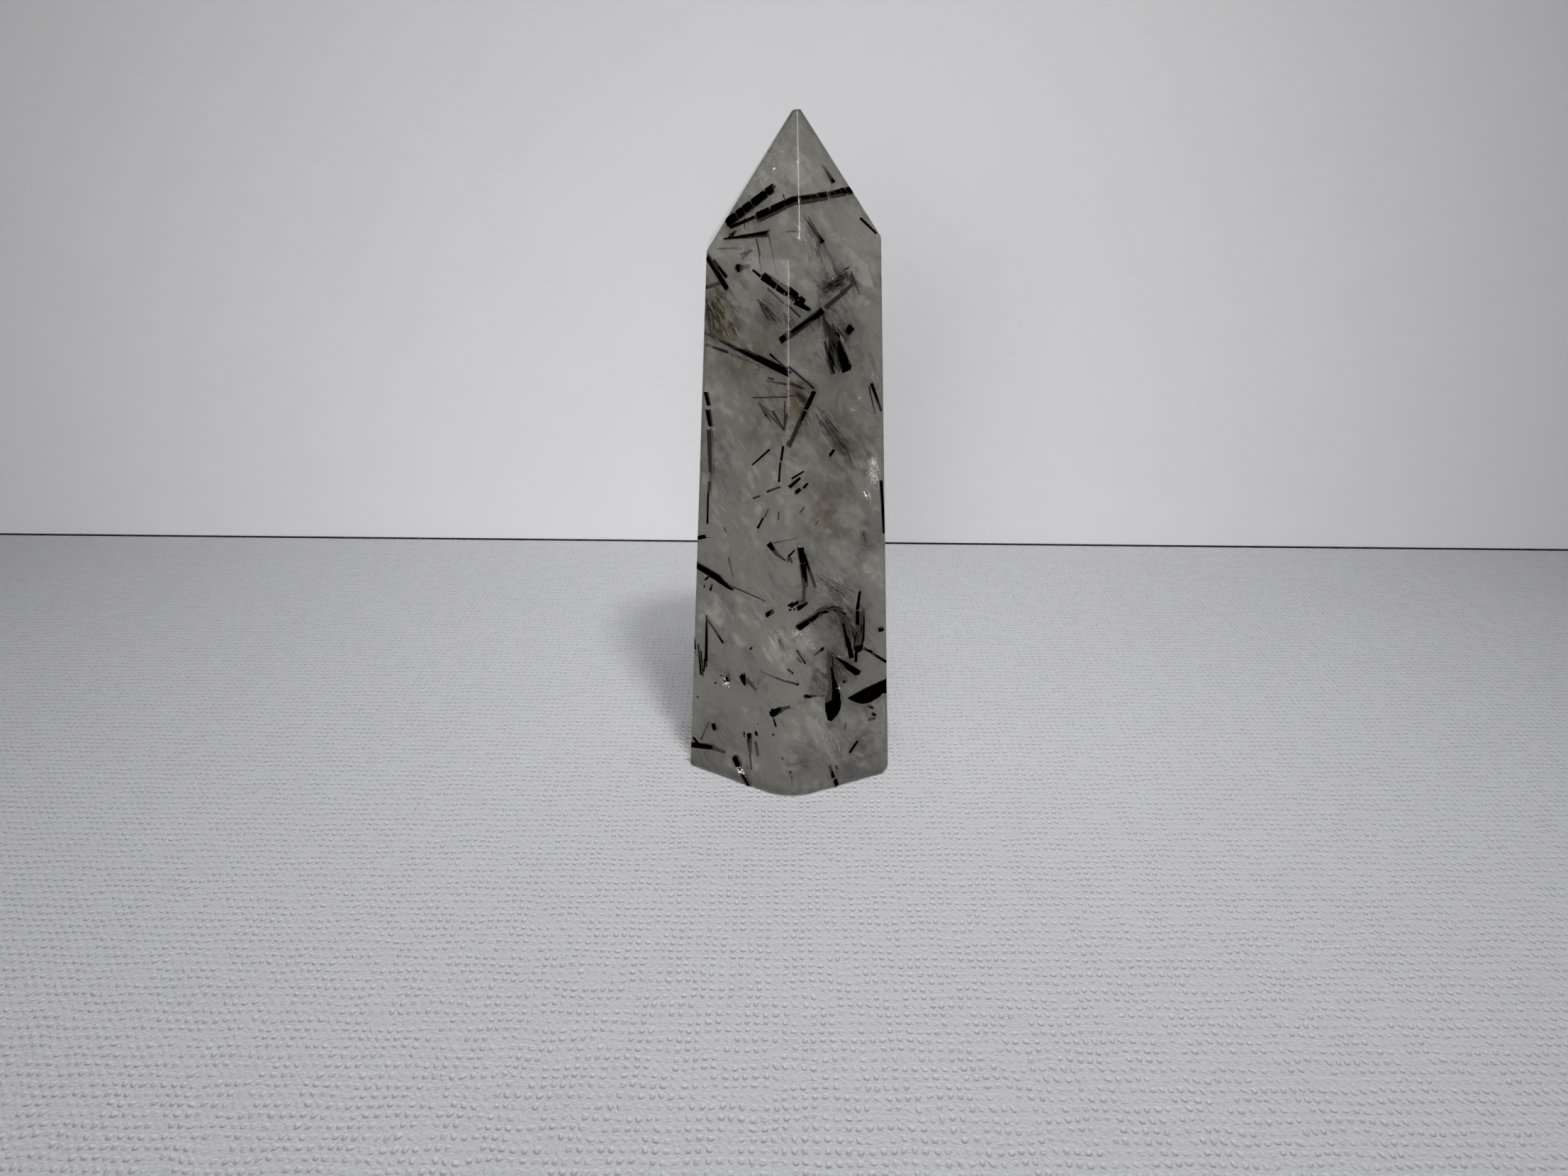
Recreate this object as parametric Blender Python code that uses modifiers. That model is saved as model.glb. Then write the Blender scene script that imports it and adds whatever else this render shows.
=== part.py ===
# Tourmalinated quartz tower: one polished stone, a tapered six-sided shaft with a
# six-sided point, standing on its flat foot. The dark needles grew inside the quartz
# and end flush in its polish, so the stone is a single solid.
#
# Metres, +Z up. The origin is the middle of the foot, on the surface it stands on.
# The front edge of the shaft looks towards -Y.

import math

import bmesh
import bpy
from mathutils import Matrix, Vector, noise

STONE_NAME = "quartz_tower"

HEIGHT = 0.0903             # foot to the top of the blunt point
APEX_LEVEL = 0.0910         # where the faces of the point would meet if it were sharp
SHOULDER_LEVEL = 0.0740     # about where the shaft ends and the point begins
BLANK_WIDTH = 0.0500        # rough block that the stone is ground from

# The shaft's faces: the way each looks, in degrees from -Y towards +X, and its
# distance from the grinding axis at the foot and at the shoulder.
SHAFT_FACES = {
    "front_left": (-33.0, 0.01435, 0.01100),
    "front_right": (28.0, 0.01465, 0.01065),
    "right": (87.5, 0.01462, 0.01100),
    "back_right": (148.0, 0.01445, 0.01085),
    "back_left": (-151.0, 0.01455, 0.01080),
    "left": (-87.5, 0.01527, 0.01146),
}

# The point's faces: the way each looks, and the level where it meets the middle
# of the shaft's face below it. Neighbours differ, as on a stone ground by hand.
# A side face has a neighbour's name instead, and meets it at the shaft's corner.
POINT_FACES = {
    "front_left": (-32.0, 0.07345),
    "front_right": (27.5, 0.07545),
    "right": (91.0, "front_right"),
    "back_right": (149.5, 0.07480),
    "back_left": (-150.0, 0.07490),
    "left": (-87.0, "front_left"),
}

# The point's blunt top leans a little to the left.
BLUNT_LOOKS = -75.0
BLUNT_TILT = 6.0
BLUNT_DROP = 0.00003        # from its highest corner to its middle

# The front edge is worn round near the foot and sharp again above it.
WORN_LEVEL = 0.0220
WORN_RADIUS = 0.0070
WORN_TURNS = (-15.0, 0.0, 15.0)

# A small nick at the foot's right corner.
NICK_LEVEL = 0.0015
NICK_TILT = -20.0

EDGE_ROUNDING = 0.0002
EDGE_SEGMENTS = 3
EDGE_ANGLE = 20.0           # the worn corner's own low edges stay as they are

# Pits in the front left face where a needle has broken out of the polish:
# sideways place and level of the middle, lean of the long side from upright in
# degrees, and half sizes across, along and into the face.
PITS = {
    "foot_pit": (-0.0074, 0.0023, 27.0, (0.00050, 0.00105, 0.00032)),
    "low_pit": (-0.0093, 0.0156, -20.0, (0.00050, 0.00065, 0.00030)),
}
PIT_ROUGHNESS = 0.35        # how far the broken lump strays from a smooth one
PIT_GRAIN = 0.9
MILLIMETRES = 1000.0

QUARTZ_COLOUR = (0.34, 0.34, 0.31, 1.0)
QUARTZ_ROUGHNESS = 0.06
QUARTZ_IOR = 1.544
QUARTZ_CLEARNESS = 0.8


def clear_scene():
    for old in list(bpy.data.objects):
        bpy.data.objects.remove(old, do_unlink=True)
    for old in list(bpy.data.collections):
        bpy.data.collections.remove(old)


def new_collection(name):
    made = bpy.data.collections.new(name)
    bpy.context.scene.collection.children.link(made)
    return made


def new_object(name, mesh_source, collection):
    """Turns a bmesh into an object of the collection."""
    mesh = bpy.data.meshes.new(name)
    mesh_source.to_mesh(mesh)
    mesh_source.free()
    made = bpy.data.objects.new(name, mesh)
    collection.objects.link(made)
    return made


def quartz_material():
    made = bpy.data.materials.new("smoky_quartz")
    made.use_nodes = True
    shader = made.node_tree.nodes["Principled BSDF"]
    shader.inputs["Base Color"].default_value = QUARTZ_COLOUR
    shader.inputs["Metallic"].default_value = 0.0
    shader.inputs["Roughness"].default_value = QUARTZ_ROUGHNESS
    shader.inputs["IOR"].default_value = QUARTZ_IOR
    shader.inputs["Transmission Weight"].default_value = QUARTZ_CLEARNESS
    made.diffuse_color = QUARTZ_COLOUR
    return made


def looking(degrees):
    """The level direction that many degrees from -Y towards +X."""
    turn = math.radians(degrees)
    return Vector((math.sin(turn), -math.cos(turn), 0.0))


def leaning_plane(looks, foot_distance, upper_distance, upper_level=SHOULDER_LEVEL):
    """A point and the outward normal of a face that leans in as it rises."""
    outward = looking(looks)
    rise = (foot_distance - upper_distance) / upper_level
    return outward * foot_distance, (outward + Vector((0.0, 0.0, rise))).normalized()


def shaft_plane(name):
    return leaning_plane(*SHAFT_FACES[name])


def shaft_distance(name, level):
    """Distance of a shaft face from the grinding axis at a level."""
    _, foot_distance, upper_distance = SHAFT_FACES[name]
    return foot_distance + (upper_distance - foot_distance) * level / SHOULDER_LEVEL


def shaft_corner(one, other, level):
    """Where two shaft faces meet at a level."""
    first, second = looking(SHAFT_FACES[one][0]), looking(SHAFT_FACES[other][0])
    rows = Matrix((first.xy, second.xy))
    distances = Vector((shaft_distance(one, level), shaft_distance(other, level)))
    place = rows.inverted() @ distances
    return Vector((place.x, place.y, level))


def corner_below(name, neighbour):
    """Where the neighbour's face of the point comes down on the shaft's corner between the two."""
    apex, normal = point_plane(neighbour)
    foot = shaft_corner(name, neighbour, 0.0)
    along = shaft_corner(name, neighbour, SHOULDER_LEVEL) - foot
    return foot + along * ((apex - foot).dot(normal) / along.dot(normal))


def point_plane(name):
    """A face of the point: through the sharp apex and its own shoulder line."""
    looks, meets = POINT_FACES[name]
    if meets in POINT_FACES:
        shoulder = corner_below(name, meets)
    else:
        shoulder = looking(SHAFT_FACES[name][0]) * shaft_distance(name, meets)
        shoulder.z = meets
    apex = Vector((0.0, 0.0, APEX_LEVEL))
    outward = looking(looks)
    along = outward.cross(Vector((0.0, 0.0, 1.0)))
    normal = along.cross(shoulder - apex).normalized()
    if normal.dot(outward) < 0.0:
        normal.negate()
    return apex, normal


def worn_planes():
    """Faces that follow a round front corner at the foot and meet the sharp edge higher up."""
    foot = shaft_corner("front_left", "front_right", 0.0)
    upper = shaft_corner("front_left", "front_right", WORN_LEVEL)
    half_turn = math.radians(SHAFT_FACES["front_right"][0] - SHAFT_FACES["front_left"][0]) / 2
    middle = (SHAFT_FACES["front_right"][0] + SHAFT_FACES["front_left"][0]) / 2
    centre = foot - looking(middle) * WORN_RADIUS / math.cos(half_turn)
    for turn in WORN_TURNS:
        outward = looking(middle + turn)
        yield leaning_plane(
            middle + turn,
            outward.dot(centre) + WORN_RADIUS,
            outward.dot(Vector((upper.x, upper.y, 0.0))),
            WORN_LEVEL,
        )


def nick_plane():
    corner = shaft_corner("front_right", "right", NICK_LEVEL)
    looks = (SHAFT_FACES["front_right"][0] + SHAFT_FACES["right"][0]) / 2
    tilt = math.radians(NICK_TILT)
    normal = looking(looks) * math.cos(tilt)
    normal.z = math.sin(tilt)
    return corner, normal


def blunt_plane():
    tilt = math.radians(BLUNT_TILT)
    normal = looking(BLUNT_LOOKS) * math.sin(tilt)
    normal.z = math.cos(tilt)
    return Vector((0.0, 0.0, HEIGHT - BLUNT_DROP)), normal


def grind(stone, point, normal):
    """Takes off what stands proud of a plane and closes the cut with one flat face."""
    cut = bmesh.ops.bisect_plane(
        stone,
        geom=stone.verts[:] + stone.edges[:] + stone.faces[:],
        dist=1e-7,
        plane_co=point,
        plane_no=normal,
        clear_outer=True,
    )
    rim = [part for part in cut["geom_cut"] if isinstance(part, bmesh.types.BMEdge)]
    bmesh.ops.contextual_create(stone, geom=rim)


def ground_stone():
    """The stone with all its faces, its edges still sharp."""
    stone = bmesh.new()
    bmesh.ops.create_cube(stone, size=1.0)
    bmesh.ops.scale(stone, vec=(BLANK_WIDTH, BLANK_WIDTH, APEX_LEVEL), verts=stone.verts)
    bmesh.ops.translate(stone, vec=(0.0, 0.0, APEX_LEVEL / 2), verts=stone.verts)
    for name in SHAFT_FACES:
        grind(stone, *shaft_plane(name))
    for name in POINT_FACES:
        grind(stone, *point_plane(name))
    for plane in worn_planes():
        grind(stone, *plane)
    grind(stone, *nick_plane())
    grind(stone, *blunt_plane())
    bmesh.ops.recalc_face_normals(stone, faces=stone.faces)
    return stone


def foot_middle(stone):
    """Middle of the stone's outline seen from above."""
    across = [corner.co.x for corner in stone.verts]
    deep = [corner.co.y for corner in stone.verts]
    return Vector(((min(across) + max(across)) / 2, (min(deep) + max(deep)) / 2, 0.0))


def pit_cutter(name, shift, collection):
    """A rough broken lump, half sunk in the front left face."""
    sideways, level, lean, half_sizes = PITS[name]
    looks = SHAFT_FACES["front_left"][0]
    outward = looking(looks)
    deep = (shaft_distance("front_left", level) - outward.x * sideways) / outward.y
    lump = bmesh.new()
    bmesh.ops.create_icosphere(lump, subdivisions=2, radius=1.0)
    own_place = Vector((level, sideways, 0.0)) * MILLIMETRES
    for corner in lump.verts:
        bump = noise.noise(corner.co / PIT_GRAIN + own_place)
        corner.co *= 1.0 + PIT_ROUGHNESS * bump
    bmesh.ops.scale(lump, vec=half_sizes, verts=lump.verts)
    cutter = new_object(name, lump, collection)
    cutter.matrix_world = (
        Matrix.Translation(Vector((sideways, deep, level)) - shift)
        @ Matrix.Rotation(math.radians(looks), 4, "Z")
        @ Matrix.Rotation(math.radians(90.0), 4, "X")
        @ Matrix.Rotation(math.radians(lean), 4, "Z")
    )
    cutter.display_type = "WIRE"
    cutter.hide_render = True
    return cutter


def build_tower():
    parts = new_collection("tourmalinated_quartz_tower")
    cutters = new_collection("cutters")
    stone = ground_stone()
    shift = foot_middle(stone)
    bmesh.ops.translate(stone, vec=-shift, verts=stone.verts)
    tower = new_object(STONE_NAME, stone, parts)
    tower.data.materials.append(quartz_material())

    rounding = tower.modifiers.new("polished edges", "BEVEL")
    rounding.width = EDGE_ROUNDING
    rounding.segments = EDGE_SEGMENTS
    rounding.limit_method = "ANGLE"
    rounding.angle_limit = math.radians(EDGE_ANGLE)

    for name in PITS:
        pit = tower.modifiers.new(name, "BOOLEAN")
        pit.operation = "DIFFERENCE"
        pit.solver = "EXACT"
        pit.object = pit_cutter(name, shift, cutters)
    return tower


clear_scene()
build_tower()
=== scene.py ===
import math
import random

import bmesh
import bpy
from mathutils import Matrix, Vector, noise


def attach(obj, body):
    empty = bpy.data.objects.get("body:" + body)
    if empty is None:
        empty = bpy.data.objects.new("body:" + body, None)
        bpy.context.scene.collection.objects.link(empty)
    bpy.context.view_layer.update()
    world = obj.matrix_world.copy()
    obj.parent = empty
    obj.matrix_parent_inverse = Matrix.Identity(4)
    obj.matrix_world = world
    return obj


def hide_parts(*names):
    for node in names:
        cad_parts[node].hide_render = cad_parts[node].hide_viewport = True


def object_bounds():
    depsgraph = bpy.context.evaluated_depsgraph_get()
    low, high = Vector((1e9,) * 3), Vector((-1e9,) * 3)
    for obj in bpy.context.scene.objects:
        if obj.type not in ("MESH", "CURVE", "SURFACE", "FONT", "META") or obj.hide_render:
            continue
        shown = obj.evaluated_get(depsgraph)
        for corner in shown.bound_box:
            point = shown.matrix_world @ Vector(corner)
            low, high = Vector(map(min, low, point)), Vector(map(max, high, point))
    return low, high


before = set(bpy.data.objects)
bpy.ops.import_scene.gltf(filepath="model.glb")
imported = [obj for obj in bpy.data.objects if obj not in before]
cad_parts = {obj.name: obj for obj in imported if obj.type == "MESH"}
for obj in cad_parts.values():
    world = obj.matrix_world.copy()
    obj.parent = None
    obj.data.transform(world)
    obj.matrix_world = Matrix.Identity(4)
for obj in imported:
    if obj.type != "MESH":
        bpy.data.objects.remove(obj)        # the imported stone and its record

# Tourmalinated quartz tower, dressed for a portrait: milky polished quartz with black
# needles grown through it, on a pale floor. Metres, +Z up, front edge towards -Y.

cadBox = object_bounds()
scene = bpy.context.scene
millimetre = 0.001
noiseSeed = 7
noise.seed_set(noiseSeed)       # noise_vector starts from the clock otherwise

# how the photograph was taken, solved from the stone's corners
photoView = {
    "width": 2212,                            # pixels
    "height": 1659,
    "lens": 26.44,                            # millimetres
    "sensor": 36.0,
    "eye": (-0.00090, -0.15674, 0.08830),     # metres, in the stone's own frame
    "lookDown": 21.86,                        # degrees
    "roll": 0.33,
}

polish = {
    "mergeGap": 1e-6,
    "flatAngle": 0.2,          # degrees between faces that are one flat
    "groundArea": 12e-6,       # flats larger than this are the ground faces
    "convexSlack": 2e-6,       # a face with nothing of the stone beyond it is skin, not pit
    "footTurn": -0.9,          # a face that looks down by more than this is the foot
    "refraction": 1.544,
    "proud": 0.000012,         # how far a needle's ground end stands out of the softer polish
    "cutGap": 1e-8,
    "crease": 35.0,            # degrees from which the stone's own edges are sharp
}


def newObject(name, mesh):
    # turns a finished bmesh into an object
    data = bpy.data.meshes.new(name)
    mesh.to_mesh(data)
    mesh.free()
    made = bpy.data.objects.new(name, data)
    scene.collection.objects.link(made)
    return made


def rootPiece(name, mesh, slot, *materials):
    # a piece that rides on the stone
    piece = newObject(name, mesh)
    for material in materials:
        piece.data.materials.append(material)
    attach(piece, "root")
    return piece


# The stone's faces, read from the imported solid
def mergedStone():
    merged = bmesh.new()
    merged.from_mesh(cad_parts["quartz_tower"].data)
    bmesh.ops.remove_doubles(merged, verts=merged.verts, dist=polish["mergeGap"])
    bmesh.ops.dissolve_limit(
        merged, angle_limit=math.radians(polish["flatAngle"]), verts=merged.verts, edges=merged.edges
    )
    return merged


def isSkin(face, corners):
    limit = face.calc_center_median().dot(face.normal) + polish["convexSlack"]
    return all(corner.co.dot(face.normal) < limit for corner in corners)


def isFoot(normal):
    return normal.z < polish["footTurn"]


def readFaces():
    merged = mergedStone()
    skin = [face for face in merged.faces if isSkin(face, merged.verts)]
    flats = [face for face in skin if face.calc_area() > polish["groundArea"]]
    found = [[(face.calc_center_median(), face.normal.copy()) for face in kind] for kind in (skin, flats)]
    merged.free()
    return found


stoneSkin, stoneFlats = readFaces()
stoneTop = max(stoneSkin, key=lambda face: face[1].z)
print("stone: faces read,", len(stoneSkin), "of skin,", len(stoneFlats), "ground flats")


# Places on and in the stone, from where they show in the photograph
def cameraPose():
    tilt = math.radians(90.0 - photoView["lookDown"])
    roll = math.radians(photoView["roll"])
    return (
        Matrix.Translation(photoView["eye"])
        @ Matrix.Rotation(tilt, 4, "X")
        @ Matrix.Rotation(roll, 4, "Z")
    )


def sightLine(pixel):
    focal = photoView["lens"] / photoView["sensor"] * photoView["width"]
    across = (pixel[0] - photoView["width"] / 2) / focal
    up = (photoView["height"] / 2 - pixel[1]) / focal
    return (cameraPose().to_3x3() @ Vector((across, up, -1.0))).normalized()


def seenAt(pixel, deep):
    # the place that shows at a pixel, that many millimetres under the polish, bent as quartz bends it
    eye = Vector(photoView["eye"])
    sight = sightLine(pixel)
    met = [((point - eye).dot(normal) / sight.dot(normal), normal)
           for point, normal in stoneFlats if sight.dot(normal) < 0.0]
    reach, normal = max(met, key=lambda pair: pair[0])
    ratio = 1.0 / polish["refraction"]
    facing = -sight.dot(normal)
    bent = sight * ratio + normal * (ratio * facing - math.sqrt(1.0 - ratio ** 2 * (1.0 - facing ** 2)))
    return eye + sight * reach + bent * (deep * millimetre / -bent.dot(normal))


def underFace(looks, level, deep):
    # a place under the polish: the way it looks, in degrees from -Y towards +X, then millimetres
    turn = math.radians(looks)
    out = Vector((math.sin(turn), -math.cos(turn), 0.0))
    start = Vector((0.0, 0.0, level * millimetre))
    met = [((point - start).dot(normal) / out.dot(normal), normal)
           for point, normal in stoneFlats if out.dot(normal) > 0.0]
    reach, normal = min(met, key=lambda pair: pair[0])
    return start + out * reach - normal * (deep * millimetre)


def isUnder(place, margin):
    return all((place - point).dot(normal) < -margin for point, normal in stoneFlats)


def inwardAt(place):
    # the level way from a place towards the middle of the stone
    return (Vector((0.0, 0.0, place.z)) - place).normalized()


def anyWay(chance):
    return Vector([chance.gauss(0, 1) for axis in "XYZ"])


def anyPlace(chance, reach):
    return Vector([chance.uniform(-reach, reach) for axis in "XYZ"])


def cutAway(mesh, point, normal):
    # takes off what lies beyond a plane, and gives the rim of the hole
    cut = bmesh.ops.bisect_plane(
        mesh, geom=mesh.verts[:] + mesh.edges[:] + mesh.faces[:], dist=polish["cutGap"],
        plane_co=point, plane_no=normal, clear_outer=True,
    )
    return [part for part in cut["geom_cut"] if isinstance(part, bmesh.types.BMEdge)]


# Needles
needleForm = {
    "stepLength": 0.0011,     # between rings along a needle
    "mostSteps": 12,
    "fineSides": 6,
    "thickSides": 10,
    "thickFrom": 0.45,        # mm wide, from where a needle gets more sides
    "groove": 0.10,           # depth of the lengthwise grooves, as a share of the radius
    "grooveGrain": 2.6,
    "triangle": 0.10,         # tourmaline's section is a rounded triangle
    "wander": 0.07,           # swelling and thinning along a needle
    "wanderGrain": 900.0,
    "ragged": 1.10,           # how far a broken end strays, in radii
    "raggedGrain": 1.4,
    "endShare": 0.001,        # of the length, at each end, that is its broken end
    "bow": 0.012,
    "ownReach": 90.0,         # how far apart needles read the noise
    "crease": 38.0,           # degrees from which an edge is sharp
    "along": "alongNeedle",   # attribute: round the needle, and millimetres along it
    "refraction": 1.055,      # tourmaline's against the quartz round it
}

bundleForm = {
    "turn": 0.382,            # of a full turn, from one fibre to the next
    "reach": 0.36,            # how far out the outermost fibres lie, against the width
    "fibreWides": (0.75, 1.15),
    "fill": 1.45,             # how closely the fibres fill the bundle
    "crackDrift": 0.3,        # how unevenly the cross cracks lie
    "crackGap": 0.00011,      # quartz that healed them
    "startDrift": 0.08,
    "endDrift": (-0.10, 0.05),
}

sprayForm = {
    "rootStray": 0.45,        # how far the roots spread, against the tips
    "begins": (0.0, 0.35),    # where along the spray a hair begins, and how far short it ends
    "fallsShort": (0.0, 0.45),
    "hairWides": (0.5, 1.3),
    "taper": 0.7,
}

shardForm = {
    "taper": 0.72,            # size of a shard's inner side against its outer one
    "cuts": 3,
    "roughness": 0.00009,
    "grain": 1400.0,
    "ownReach": 9.0,
}


def newGrowth():
    grown = bmesh.new()
    grown.verts.layers.float_vector.new(needleForm["along"])
    return grown


def joinInto(grown, mesh):
    ground = bpy.data.meshes.new("ground")
    mesh.to_mesh(ground)
    mesh.free()
    grown.from_mesh(ground, face_normals=False, vertex_normals=False)
    bpy.data.meshes.remove(ground)


def grindFlush(mesh):
    # what would stand out of the stone was ground away with its faces
    middle = sum((corner.co for corner in mesh.verts), Vector()) / len(mesh.verts)
    reach = max((corner.co - middle).length for corner in mesh.verts)
    for point, normal in stoneSkin:
        proud = 0.0 if isFoot(normal) else polish["proud"]
        limit = point.dot(normal) + proud
        if middle.dot(normal) + reach < limit or all(corner.co.dot(normal) < limit for corner in mesh.verts):
            continue
        rim = cutAway(mesh, point + normal * proud, normal)
        if rim:
            bmesh.ops.edgeloop_fill(mesh, edges=rim)


def addNeedle(grown, start, end, wides, chance):
    # one crystal: a tapered rod, ringed along its length, grooved, bowed and broken off at its ends
    form = needleForm
    mesh = newGrowth()
    marks = mesh.verts.layers.float_vector[form["along"]]
    along = end - start
    length = along.length
    sides = form["thickSides"] if max(wides) > form["thickFrom"] else form["fineSides"]
    radii = [0.5 * wide * millimetre for wide in wides]
    bmesh.ops.create_cone(
        mesh, cap_ends=True, segments=sides, radius1=radii[0], radius2=radii[1], depth=length
    )
    flanks = [edge for edge in mesh.edges if abs(edge.verts[0].co.z - edge.verts[1].co.z) > 0.5 * length]
    rings = min(form["mostSteps"], int(length / form["stepLength"]))
    if rings:
        bmesh.ops.subdivide_edges(mesh, edges=flanks, cuts=rings, use_grid_fill=True)
    own = anyPlace(chance, form["ownReach"])
    twist = chance.uniform(0, math.tau)
    bow = chance.uniform(-1, 1) * form["bow"] * length
    for corner in mesh.verts:
        share = corner.co.z / length + 0.5
        turn = math.atan2(corner.co.y, corner.co.x)
        around = Vector((math.cos(turn), math.sin(turn), 0.0))
        swell = 1.0 + form["groove"] * noise.noise(around * form["grooveGrain"] + own)
        swell += form["triangle"] * math.cos(3.0 * turn + twist)
        swell += form["wander"] * noise.noise(Vector((share * length * form["wanderGrain"], 0.0, 0.0)) + own)
        radius = radii[0] + (radii[1] - radii[0]) * share
        corner.co.x *= swell
        corner.co.y *= swell
        if not form["endShare"] <= share <= 1.0 - form["endShare"]:
            corner.co.z += form["ragged"] * radius * noise.noise(around * form["raggedGrain"] - own)
        corner.co.x += bow * 4.0 * share * (1.0 - share)
        corner[marks] = around + own + Vector((0.0, 0.0, share * length / millimetre))
    place = (
        Matrix.Translation((start + end) / 2)
        @ along.to_track_quat("Z", "Y").to_matrix().to_4x4()
        @ Matrix.Rotation(twist, 4, "Z")
    )
    bmesh.ops.transform(mesh, matrix=place, verts=mesh.verts)
    grindFlush(mesh)
    bmesh.ops.recalc_face_normals(mesh, faces=mesh.faces)
    joinInto(grown, mesh)


def addBundle(grown, start, end, wides, fibres, cracks, chance):
    # a thick crystal split lengthwise into fibres, and cracked across in a few places
    form = bundleForm
    along = end - start
    across = along.orthogonal().normalized()
    other = along.normalized().cross(across)
    gap = form["crackGap"] / along.length
    drift = form["crackDrift"]
    breaks = [(crack + chance.uniform(-drift, drift)) / (cracks + 1) for crack in range(1, cracks + 1)]

    def wideAt(share):
        return wides[0] + (wides[1] - wides[0]) * share

    for fibre in range(fibres):
        turn = math.tau * fibre * form["turn"]
        out = math.sqrt((fibre + 0.5) / fibres) * form["reach"] * millimetre
        side = across * math.cos(turn) + other * math.sin(turn)
        thick = chance.uniform(*form["fibreWides"]) * form["fill"] / math.sqrt(fibres)
        shift = chance.uniform(-drift, drift) * out / along.length
        stops = [chance.uniform(-form["startDrift"], form["startDrift"]) * fibre / fibres]
        stops += [place + shift for place in breaks]
        stops.append(1.0 + chance.uniform(*form["endDrift"]) * fibre / fibres)
        for near, far in zip(stops, stops[1:]):
            near += gap if near != stops[0] else 0.0
            far -= gap if far != stops[-1] else 0.0
            if far - near < gap:
                continue
            ends = [start + along * share + side * (out * wideAt(share)) for share in (near, far)]
            addNeedle(grown, *ends, [thick * wideAt(share) for share in (near, far)], chance)


def addSpray(grown, root, tip, spread, wide, hairs, chance):
    # fine hairs that start close together and fan out
    form = sprayForm
    along = tip - root
    for hair in range(hairs):
        stray = anyWay(chance) * spread * millimetre
        begin = root + along * chance.uniform(*form["begins"]) + stray * form["rootStray"]
        reach = tip + stray - along * chance.uniform(*form["fallsShort"])
        thick = wide * chance.uniform(*form["hairWides"])
        addNeedle(grown, begin, reach, (thick, thick * form["taper"]), chance)


def addShard(grown, outline, thick, chance):
    # a broken blade: its outline at the polish, pushed into the stone and roughened
    mesh = newGrowth()
    marks = mesh.verts.layers.float_vector[needleForm["along"]]
    corners = [mesh.verts.new(seenAt((across, down), deep)) for across, down, deep in outline]
    longest = (corners[0].co - corners[len(corners) // 2].co).normalized()
    front = mesh.faces.new(corners)
    front.normal_update()
    inward = front.normal.copy()
    if inward.y < 0.0:
        inward.negate()
    pushed = bmesh.ops.extrude_face_region(mesh, geom=[front])
    inner = [part for part in pushed["geom"] if isinstance(part, bmesh.types.BMVert)]
    middle = sum((corner.co for corner in inner), Vector()) / len(inner)
    bmesh.ops.scale(mesh, vec=(shardForm["taper"],) * 3, space=Matrix.Translation(-middle), verts=inner)
    bmesh.ops.translate(mesh, vec=inward * thick * millimetre, verts=inner)
    bmesh.ops.recalc_face_normals(mesh, faces=mesh.faces)
    bmesh.ops.subdivide_edges(mesh, edges=mesh.edges[:], cuts=shardForm["cuts"], use_grid_fill=True)
    bmesh.ops.triangulate(mesh, faces=[face for face in mesh.faces if len(face.verts) > 4])
    own = anyPlace(chance, shardForm["ownReach"])
    for corner in mesh.verts:
        place = corner.co * shardForm["grain"] + own
        corner[marks] = corner.co / millimetre + own + longest * corner.co.dot(longest) / millimetre
        corner.co += noise.noise_vector(place) * shardForm["roughness"]
    grindFlush(mesh)
    bmesh.ops.recalc_face_normals(mesh, faces=mesh.faces)
    joinInto(grown, mesh)


def finishGrowth(name, grown, slot, material):
    for face in grown.faces:
        face.smooth = True
    piece = rootPiece(name, grown, slot, material)
    piece.data.set_sharp_from_angle(angle=math.radians(needleForm["crease"]))
    print("grown:", name, len(piece.data.polygons), "faces")
    return piece


def grownPiece(name, growth, material):
    # grows everything that one dictionary lists
    chance = random.Random(growth["seed"])
    grown = newGrowth()
    for start, end, wides, deeps in growth.get("needles", {}).values():
        addNeedle(grown, seenAt(start, deeps[0]), seenAt(end, deeps[1]), wides, chance)
    for start, end, wides, deeps, fibres, cracks in growth.get("bundles", {}).values():
        addBundle(grown, seenAt(start, deeps[0]), seenAt(end, deeps[1]), wides, fibres, cracks, chance)
    for root, tip, spread, wide, deeps, hairs in growth.get("sprays", {}).values():
        addSpray(grown, seenAt(root, deeps[0]), seenAt(tip, deeps[1]), spread, wide, hairs, chance)
    for outline, thick in growth.get("shards", {}).values():
        addShard(grown, outline, thick, chance)
    return finishGrowth(name, grown, "tourmaline", material)


# Materials
def newMaterial(name):
    made = bpy.data.materials.new(name)
    made.use_nodes = True
    return made, made.node_tree, made.node_tree.nodes["Principled BSDF"]


def putNode(tree, kind, **values):
    made = tree.nodes.new(kind)
    for key, value in values.items():
        if key in made.inputs:
            made.inputs[key].default_value = value
        else:
            setattr(made, key, value)
    return made


def ownPlace(tree):
    return putNode(tree, "ShaderNodeTexCoord").outputs["Object"]


def setOrLink(tree, socket, value):
    # a value may be fixed or come from a node
    if isinstance(value, bpy.types.NodeSocket):
        tree.links.new(value, socket)
    else:
        socket.default_value = value


def mathOf(tree, operation, *values):
    made = putNode(tree, "ShaderNodeMath", operation=operation)
    for socket, value in zip(made.inputs, values):
        setOrLink(tree, socket, value)
    return made.outputs["Value"]


def mixColours(tree, mask, first, second):
    made = putNode(tree, "ShaderNodeMix", data_type="RGBA")
    tree.links.new(mask, made.inputs["Factor"])
    for socket, colour in ((made.inputs[6], first), (made.inputs[7], second)):
        setOrLink(tree, socket, (*colour, 1.0) if isinstance(colour, tuple) else colour)
    return made.outputs[2]


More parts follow.
